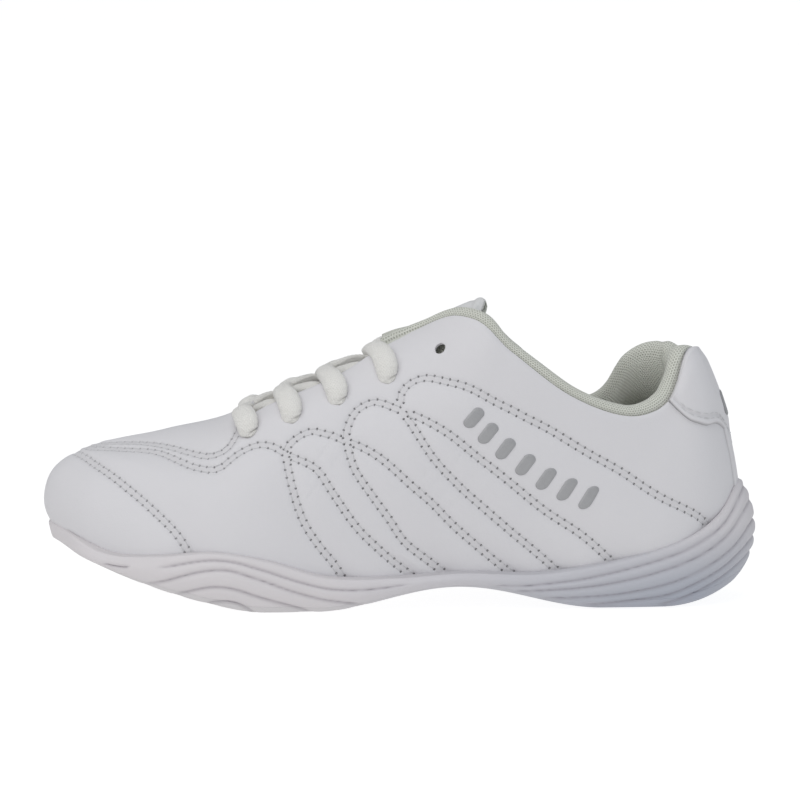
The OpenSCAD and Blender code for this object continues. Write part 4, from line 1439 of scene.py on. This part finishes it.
class Nodes:
    """A small helper that adds shader nodes and links them."""

    def __init__(self, name):
        self.material = bpy.data.materials.new(name)
        self.material.use_nodes = True
        self.tree = self.material.node_tree
        self.bsdf = self.tree.nodes["Principled BSDF"]

    def add(self, kind, inputs=None, **settings):
        node = self.tree.nodes.new("ShaderNode" + kind)
        for key, value in settings.items():
            setattr(node, key, value)
        for key, value in (inputs or {}).items():
            self.set(node.inputs[key], value)
        return node

    def set(self, socket, value):
        if isinstance(value, bpy.types.NodeSocket):
            self.tree.links.new(value, socket)
        elif isinstance(value, tuple) and len(value) == 3 and socket.type == "RGBA":
            socket.default_value = (*value, 1)
        else:
            socket.default_value = value

    def math(self, operation, *values):
        node = self.add("Math", operation=operation)
        for k, value in enumerate(values):
            self.set(node.inputs[k], value)
        return node.outputs[0]

    def mix(self, factor, a, b):
        node = self.add("Mix", data_type="RGBA")
        self.set(node.inputs["Factor"], factor)
        for socket, value in ((node.inputs[6], a), (node.inputs[7], b)):
            self.set(socket, value)
        return node.outputs[2]

    def noise(self, scale, detail=3.0, rough=0.55):
        where = self.add("TexCoord").outputs["Object"]
        node = self.add("TexNoise", {"Vector": where, "Scale": scale, "Detail": detail, "Roughness": rough})
        return node.outputs["Fac"]

    def cells(self, scale, feature="F1"):
        where = self.add("TexCoord").outputs["Object"]
        node = self.add("TexVoronoi", {"Vector": where, "Scale": scale}, feature=feature)
        return node.outputs["Distance"]

    def value(self, name):
        return self.add("Attribute", attribute_name=name).outputs["Fac"]

    def bump(self, height, distance, strength=1.0, under=None):
        node = self.add("Bump", {"Height": height, "Distance": distance, "Strength": strength})
        if under is not None:
            self.set(node.inputs["Normal"], under)
        return node.outputs[0]

    def finish(self, color, rough, normal=None, **extra):
        self.set(self.bsdf.inputs["Base Color"], color)
        self.set(self.bsdf.inputs["Roughness"], rough)
        if normal is not None:
            self.set(self.bsdf.inputs["Normal"], normal)
        for key, value in extra.items():
            self.set(self.bsdf.inputs[key.replace("_", " ")], value)
        return self.material


def leather_material(name, tint, shade):
    """White full-grain leather: fine pebble, faint mottling, and painted shade in needle holes, seam grooves
    and at raised edges, where raw edges also go darker.
    """
    m = Nodes(name)
    broad = m.noise(38, 3)
    fine = m.noise(900, 2)
    color = m.mix(m.math("MULTIPLY", broad, 0.35), tint, shade)
    # painted shade: grey along seam grooves and rolled edges
    color = m.mix(m.math("MULTIPLY", m.value("seam"), 0.16), color, (0.44, 0.42, 0.42))
    # painted shade: near black in needle holes and at raised edges, partly the darker raw edge there
    color = m.mix(m.math("MULTIPLY", m.value("needle"), 0.92), color, (0.07, 0.068, 0.072))
    grain = m.cells(1500)
    rough = m.math("ADD", 0.4, m.math("MULTIPLY", fine, 0.2))
    bump = m.bump(grain, 0.00006, 0.55)
    bump = m.bump(m.noise(260, 3), 0.00012, 0.4, bump)
    return m.finish(color, rough, bump, Coat_Weight=0.06, Coat_Roughness=0.35, Sheen_Weight=0.05,
                    Specular_IOR_Level=0.42)


def holes_pattern(m, pitch):
    """Staggered round holes from the weave map: 1 in a hole, 0 on the threads."""
    uv = m.add("UVMap", uv_map="weave").outputs[0]
    split = m.add("SeparateXYZ", {"Vector": uv})
    y = m.math("DIVIDE", split.outputs[1], pitch * 0.82)
    odd = m.math("MULTIPLY", m.math("MODULO", m.math("FLOOR", y), 2.0), 0.5)
    x = m.math("ADD", m.math("DIVIDE", split.outputs[0], pitch), odd)
    fx = m.math("SUBTRACT", m.math("FRACT", x), 0.5)
    fy = m.math("SUBTRACT", m.math("FRACT", y), 0.5)
    d = m.math("SQRT", m.math("ADD", m.math("MULTIPLY", fx, fx), m.math("MULTIPLY", fy, fy)))
    node = m.add("MapRange", {"Value": d, "From Min": 0.36, "From Max": 0.16},
                 interpolation_type="SMOOTHSTEP")
    return node.outputs[0]


def mesh_material(name, thread, knit_hole_shade, pitch):
    """Knitted spacer mesh: rows of small round holes in a soft thread ground, with painted shade inside the
    holes.
    """
    m = Nodes(name)
    holes = holes_pattern(m, pitch)
    ground = m.mix(m.math("MULTIPLY", m.noise(60, 3), 0.4), thread, tuple(c * 0.9 for c in thread))
    # painted shade inside the holes
    color = m.mix(m.math("MULTIPLY", holes, 0.75), ground, knit_hole_shade)
    height = m.math("SUBTRACT", m.math("MULTIPLY", m.noise(2600, 2), 0.3), holes)
    return m.finish(color, 0.88, m.bump(height, 0.0004, 0.9), Sheen_Weight=0.35, Sheen_Roughness=0.5,
                    Specular_IOR_Level=0.2)


def lace_material():
    """Soft cotton braid: crossing diagonal yarns with a little fuzz."""
    m = Nodes("lace_cotton_braid")
    uv = m.add("UVMap", uv_map="weave").outputs[0]
    split = m.add("SeparateXYZ", {"Vector": uv})
    k = 2 * math.pi / 1.1
    a = m.math("SINE", m.math("MULTIPLY", m.math("ADD", split.outputs[0], split.outputs[1]), k))
    b = m.math("SINE", m.math("MULTIPLY", m.math("SUBTRACT", split.outputs[0], split.outputs[1]), k))
    yarn = m.math("MAXIMUM", a, b)
    # painted shade darkens the gaps between the yarns
    color = m.mix(m.math("MULTIPLY_ADD", yarn, -0.15, 0.2), (0.93, 0.915, 0.88), (0.76, 0.745, 0.70))
    height = m.math("ADD", m.math("MULTIPLY", yarn, 0.5), m.math("MULTIPLY", m.noise(2400, 2), 0.5))
    return m.finish(color, 0.85, m.bump(height, 0.00022, 0.7), Sheen_Weight=0.5, Sheen_Roughness=0.4,
                    Specular_IOR_Level=0.2)


def thread_material():
    m = Nodes("thread_white")
    color = m.mix(m.noise(500, 2), (0.74, 0.74, 0.75), (0.6, 0.6, 0.61))
    return m.finish(color, 0.6, m.bump(m.noise(3000, 2), 0.00008, 0.6), Sheen_Weight=0.2)


def sole_material(name, top, low, rough):
    """Moulded sole compound: faint speckle, painted shade making it darker and cooler towards the heel and the
    ground, and painted shade in the groove valleys.
    """
    m = Nodes(name)
    where = m.add("SeparateXYZ", {"Vector": m.add("TexCoord").outputs["Object"]})
    metre = MM * 1000
    lift = m.add("MapRange", {"Value": where.outputs[2], "From Min": 0.0, "From Max": 0.03 * metre})
    back = m.add("MapRange", {"Value": where.outputs[0], "From Min": -0.03 * metre, "From Max": 0.11 * metre})
    # painted shade: towards the heel and low on the wall the colour goes to the darker, bluer second colour
    ground_shade = m.math("MULTIPLY", m.math("SUBTRACT", 1.15, lift.outputs[0]), back.outputs[0])
    color = m.mix(ground_shade, top, low)
    color = m.mix(m.math("MULTIPLY", m.noise(120, 4), 0.14), color, tuple(c * 0.75 for c in top))
    # painted shade darkens the groove valleys
    color = m.mix(m.math("MULTIPLY", m.value("valley"), 0.4), color, (0.36, 0.33, 0.37))
    bump = m.bump(m.noise(1400, 3), 0.00008, 0.5)
    return m.finish(color, m.math("ADD", rough, m.math("MULTIPLY", m.noise(300, 2), 0.12)), bump,
                    Specular_IOR_Level=0.4)


def silver_material():
    """Printed metallic silver foil with fine flake."""
    m = Nodes("silver_foil_flake")
    flake = m.cells(5200)
    color = m.mix(flake, (0.5, 0.5, 0.51), (0.38, 0.38, 0.39))
    rough = m.math("ADD", 0.38, m.math("MULTIPLY", m.noise(700, 2), 0.18))
    return m.finish(color, rough, m.bump(flake, 0.00004, 0.5), Metallic=0.35)


def plain_material(name, color, rough, scale):
    """Hidden padding, board and tape: open-cell or fibrous, by the size of its grain."""
    m = Nodes(name)
    grain = m.cells(scale)
    shade = m.mix(m.math("MULTIPLY", grain, 0.6), color, tuple(c * 0.7 for c in color))
    return m.finish(shade, rough, m.bump(grain, 0.0003, 0.6))


FLOOR_GLOW, FLOOR_BOUNCE = 0.86, 0.5


def floor_material():
    """Pale sweep that lights itself, so that it stays near white out to the horizon."""
    m = Nodes("floor_pale")
    color = m.mix(m.noise(3, 2), (0.32, 0.32, 0.32), (0.3, 0.3, 0.3))
    seen = m.add("LightPath").outputs["Is Camera Ray"]
    glow = m.math("MULTIPLY_ADD", seen, FLOOR_GLOW - FLOOR_BOUNCE, FLOOR_BOUNCE)
    return m.finish(color, 0.9, None, Specular_IOR_Level=0.1, Emission_Color=(1.0, 1.0, 1.0),
                    Emission_Strength=glow)


# ---- Stage ----

KEY_POWER, FILL_POWER, RIM_POWER, WORLD_LIGHT = 8.8, 5.2, 2.3, 0.42
FLOOR_HALF, FLOOR_POINTS = 6.0, 12
FLOOR_DROP = 0.0002             # keeps the floor just clear of the sole


def build_floor():
    low = min(0.0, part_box("outsole_front")[0].z) - FLOOR_DROP
    x = np.linspace(-FLOOR_HALF, FLOOR_HALF, FLOOR_POINTS)
    px, py = np.meshgrid(x, x, indexing="ij")
    mesh = bpy.data.meshes.new("floor")
    points = np.stack([px, py, 0 * px + low], -1).reshape(-1, 3)
    mesh.from_pydata(points.tolist(), [], grid_faces(FLOOR_POINTS, FLOOR_POINTS).tolist())
    mesh.materials.append(floor_material())
    floor = bpy.data.objects.new("floor", mesh)
    bpy.context.scene.collection.objects.link(floor)


def area_light(name, place_at, target, size, power, color=(1, 1, 1)):
    data = bpy.data.lights.new(name, "AREA")
    data.shape = "RECTANGLE"
    data.size, data.size_y = size
    data.energy = power
    data.color = color
    obj = bpy.data.objects.new(name, data)
    obj.location = place_at
    direction = Vector(target) - Vector(place_at)
    obj.rotation_euler = direction.to_track_quat("-Z", "Y").to_euler()
    bpy.context.scene.collection.objects.link(obj)


def build_studio():
    middle = (0, 0, 0.05)
    area_light("top_softbox", (-0.4, -0.5, 1.5), middle, (2.0, 1.6), KEY_POWER)
    area_light("front_softbox", (-0.9, -1.7, 0.7), middle, (1.6, 1.2), FILL_POWER, (1.0, 0.985, 0.985))
    area_light("heel_softbox", (1.7, -0.4, 0.8), middle, (1.0, 1.2), RIM_POWER, (0.76, 0.88, 1.0))
    world = bpy.data.worlds.new("studio")
    world.use_nodes = True
    tree = world.node_tree
    tree.nodes["Background"].inputs["Color"].default_value = (0.95, 0.975, 1, 1)
    tree.nodes["Background"].inputs["Strength"].default_value = WORLD_LIGHT
    seen = tree.nodes.new("ShaderNodeBackground")
    seen.inputs["Color"].default_value = (1, 1, 1, 1)
    seen.inputs["Strength"].default_value = 1.0
    path, blend = tree.nodes.new("ShaderNodeLightPath"), tree.nodes.new("ShaderNodeMixShader")
    tree.links.new(path.outputs["Is Camera Ray"], blend.inputs[0])
    tree.links.new(tree.nodes["Background"].outputs[0], blend.inputs[1])
    tree.links.new(seen.outputs[0], blend.inputs[2])
    tree.links.new(blend.outputs[0], tree.nodes["World Output"].inputs["Surface"])
    bpy.context.scene.world = world
    bpy.context.scene.view_settings.view_transform = "Standard"
    bpy.context.scene.view_settings.look = "None"


ELEVATION = math.radians(7.0)
CAMERA_REACH = 6.0              # far off with a long lens, for a nearly parallel view
FRAME_WIDTH = 0.300             # width that the camera takes in at the shoe, in metres
SENSOR = 36
# What the camera looks at: along from the middle, in front of the near side, and up in the picture, in metres
AIM_ALONG, AIM_FRONT, AIM_UP = 0.0006, 0.0054, 0.0797


def build_camera():
    low, high = CAD_BOX
    data = bpy.data.cameras.new("camera")
    data.sensor_width = SENSOR
    data.lens = SENSOR * CAMERA_REACH / FRAME_WIDTH
    data.clip_start, data.clip_end = 0.5, 40
    camera = bpy.data.objects.new("camera", data)
    near_ground = np.array([0.0, low.y + AIM_FRONT, 0.0])
    up = np.array([0, math.sin(ELEVATION), math.cos(ELEVATION)])
    back = np.array([0, -math.cos(ELEVATION), math.sin(ELEVATION)])
    middle = near_ground + up * AIM_UP + np.array([(low.x + high.x) / 2 + AIM_ALONG, 0, 0])
    camera.location = middle + back * CAMERA_REACH
    camera.rotation_euler = (math.pi / 2 - ELEVATION, 0, 0)
    bpy.context.scene.collection.objects.link(camera)
    bpy.context.scene.camera = camera


# ---- Everything ----

def build_all():
    leather = leather_material("leather_white", (0.80, 0.788, 0.81), (0.74, 0.728, 0.75))
    soft = leather_material("leather_soft_white", (0.80, 0.80, 0.80), (0.73, 0.73, 0.73))
    # each mesh's second colour is painted shade inside its holes
    knit = mesh_material("mesh_knit", (0.76, 0.775, 0.69), (0.40, 0.41, 0.34), 1.15)
    collar_knit = mesh_material("mesh_collar", (0.79, 0.80, 0.725), (0.46, 0.47, 0.39), 1.1)
    sock = mesh_material("mesh_sock", (0.7, 0.71, 0.66), (0.4, 0.41, 0.38), 1.1)
    foam = plain_material("foam_cream", (0.85, 0.78, 0.5), 0.9, 1300)
    board = plain_material("board_tan", (0.5, 0.42, 0.28), 0.8, 900)
    # the stay tape is painted near black as the shade inside the eyelet holes
    eyelet_shade_tape = plain_material("tape_painted_eyelet_shade", (0.09, 0.09, 0.09), 0.8, 1500)
    thread = thread_material()
    silver = silver_material()
    build_skin(leather)
    rows = stitch_points()
    for name, side in (("stitching_lateral", -1), ("stitching_medial", 1)):
        stitching(name, rows, side, thread, "flex", skin_height)
    build_collar(collar_knit, foam)
    build_tab(leather, thread)
    build_backstay(leather)
    build_heel_mark(silver)
    build_side_mark("side_mark_lateral", -1, silver)
    build_side_mark("side_mark_medial", 1, silver)
    build_tongue(soft, knit, foam)
    build_tongue_flap(soft, knit)
    build_laces(lace_material())
    build_inside(knit, foam, board, eyelet_shade_tape)
    # the second colour of each sole material is painted shade low on the heel
    build_sole(sole_material("sole_foam", (0.79, 0.755, 0.77), (0.44, 0.475, 0.55), 0.45),
               sole_material("sole_rubber", (0.75, 0.725, 0.735), (0.46, 0.485, 0.56), 0.5))
    build_insole(sock, board)


build_all()
build_floor()
build_studio()
build_camera()
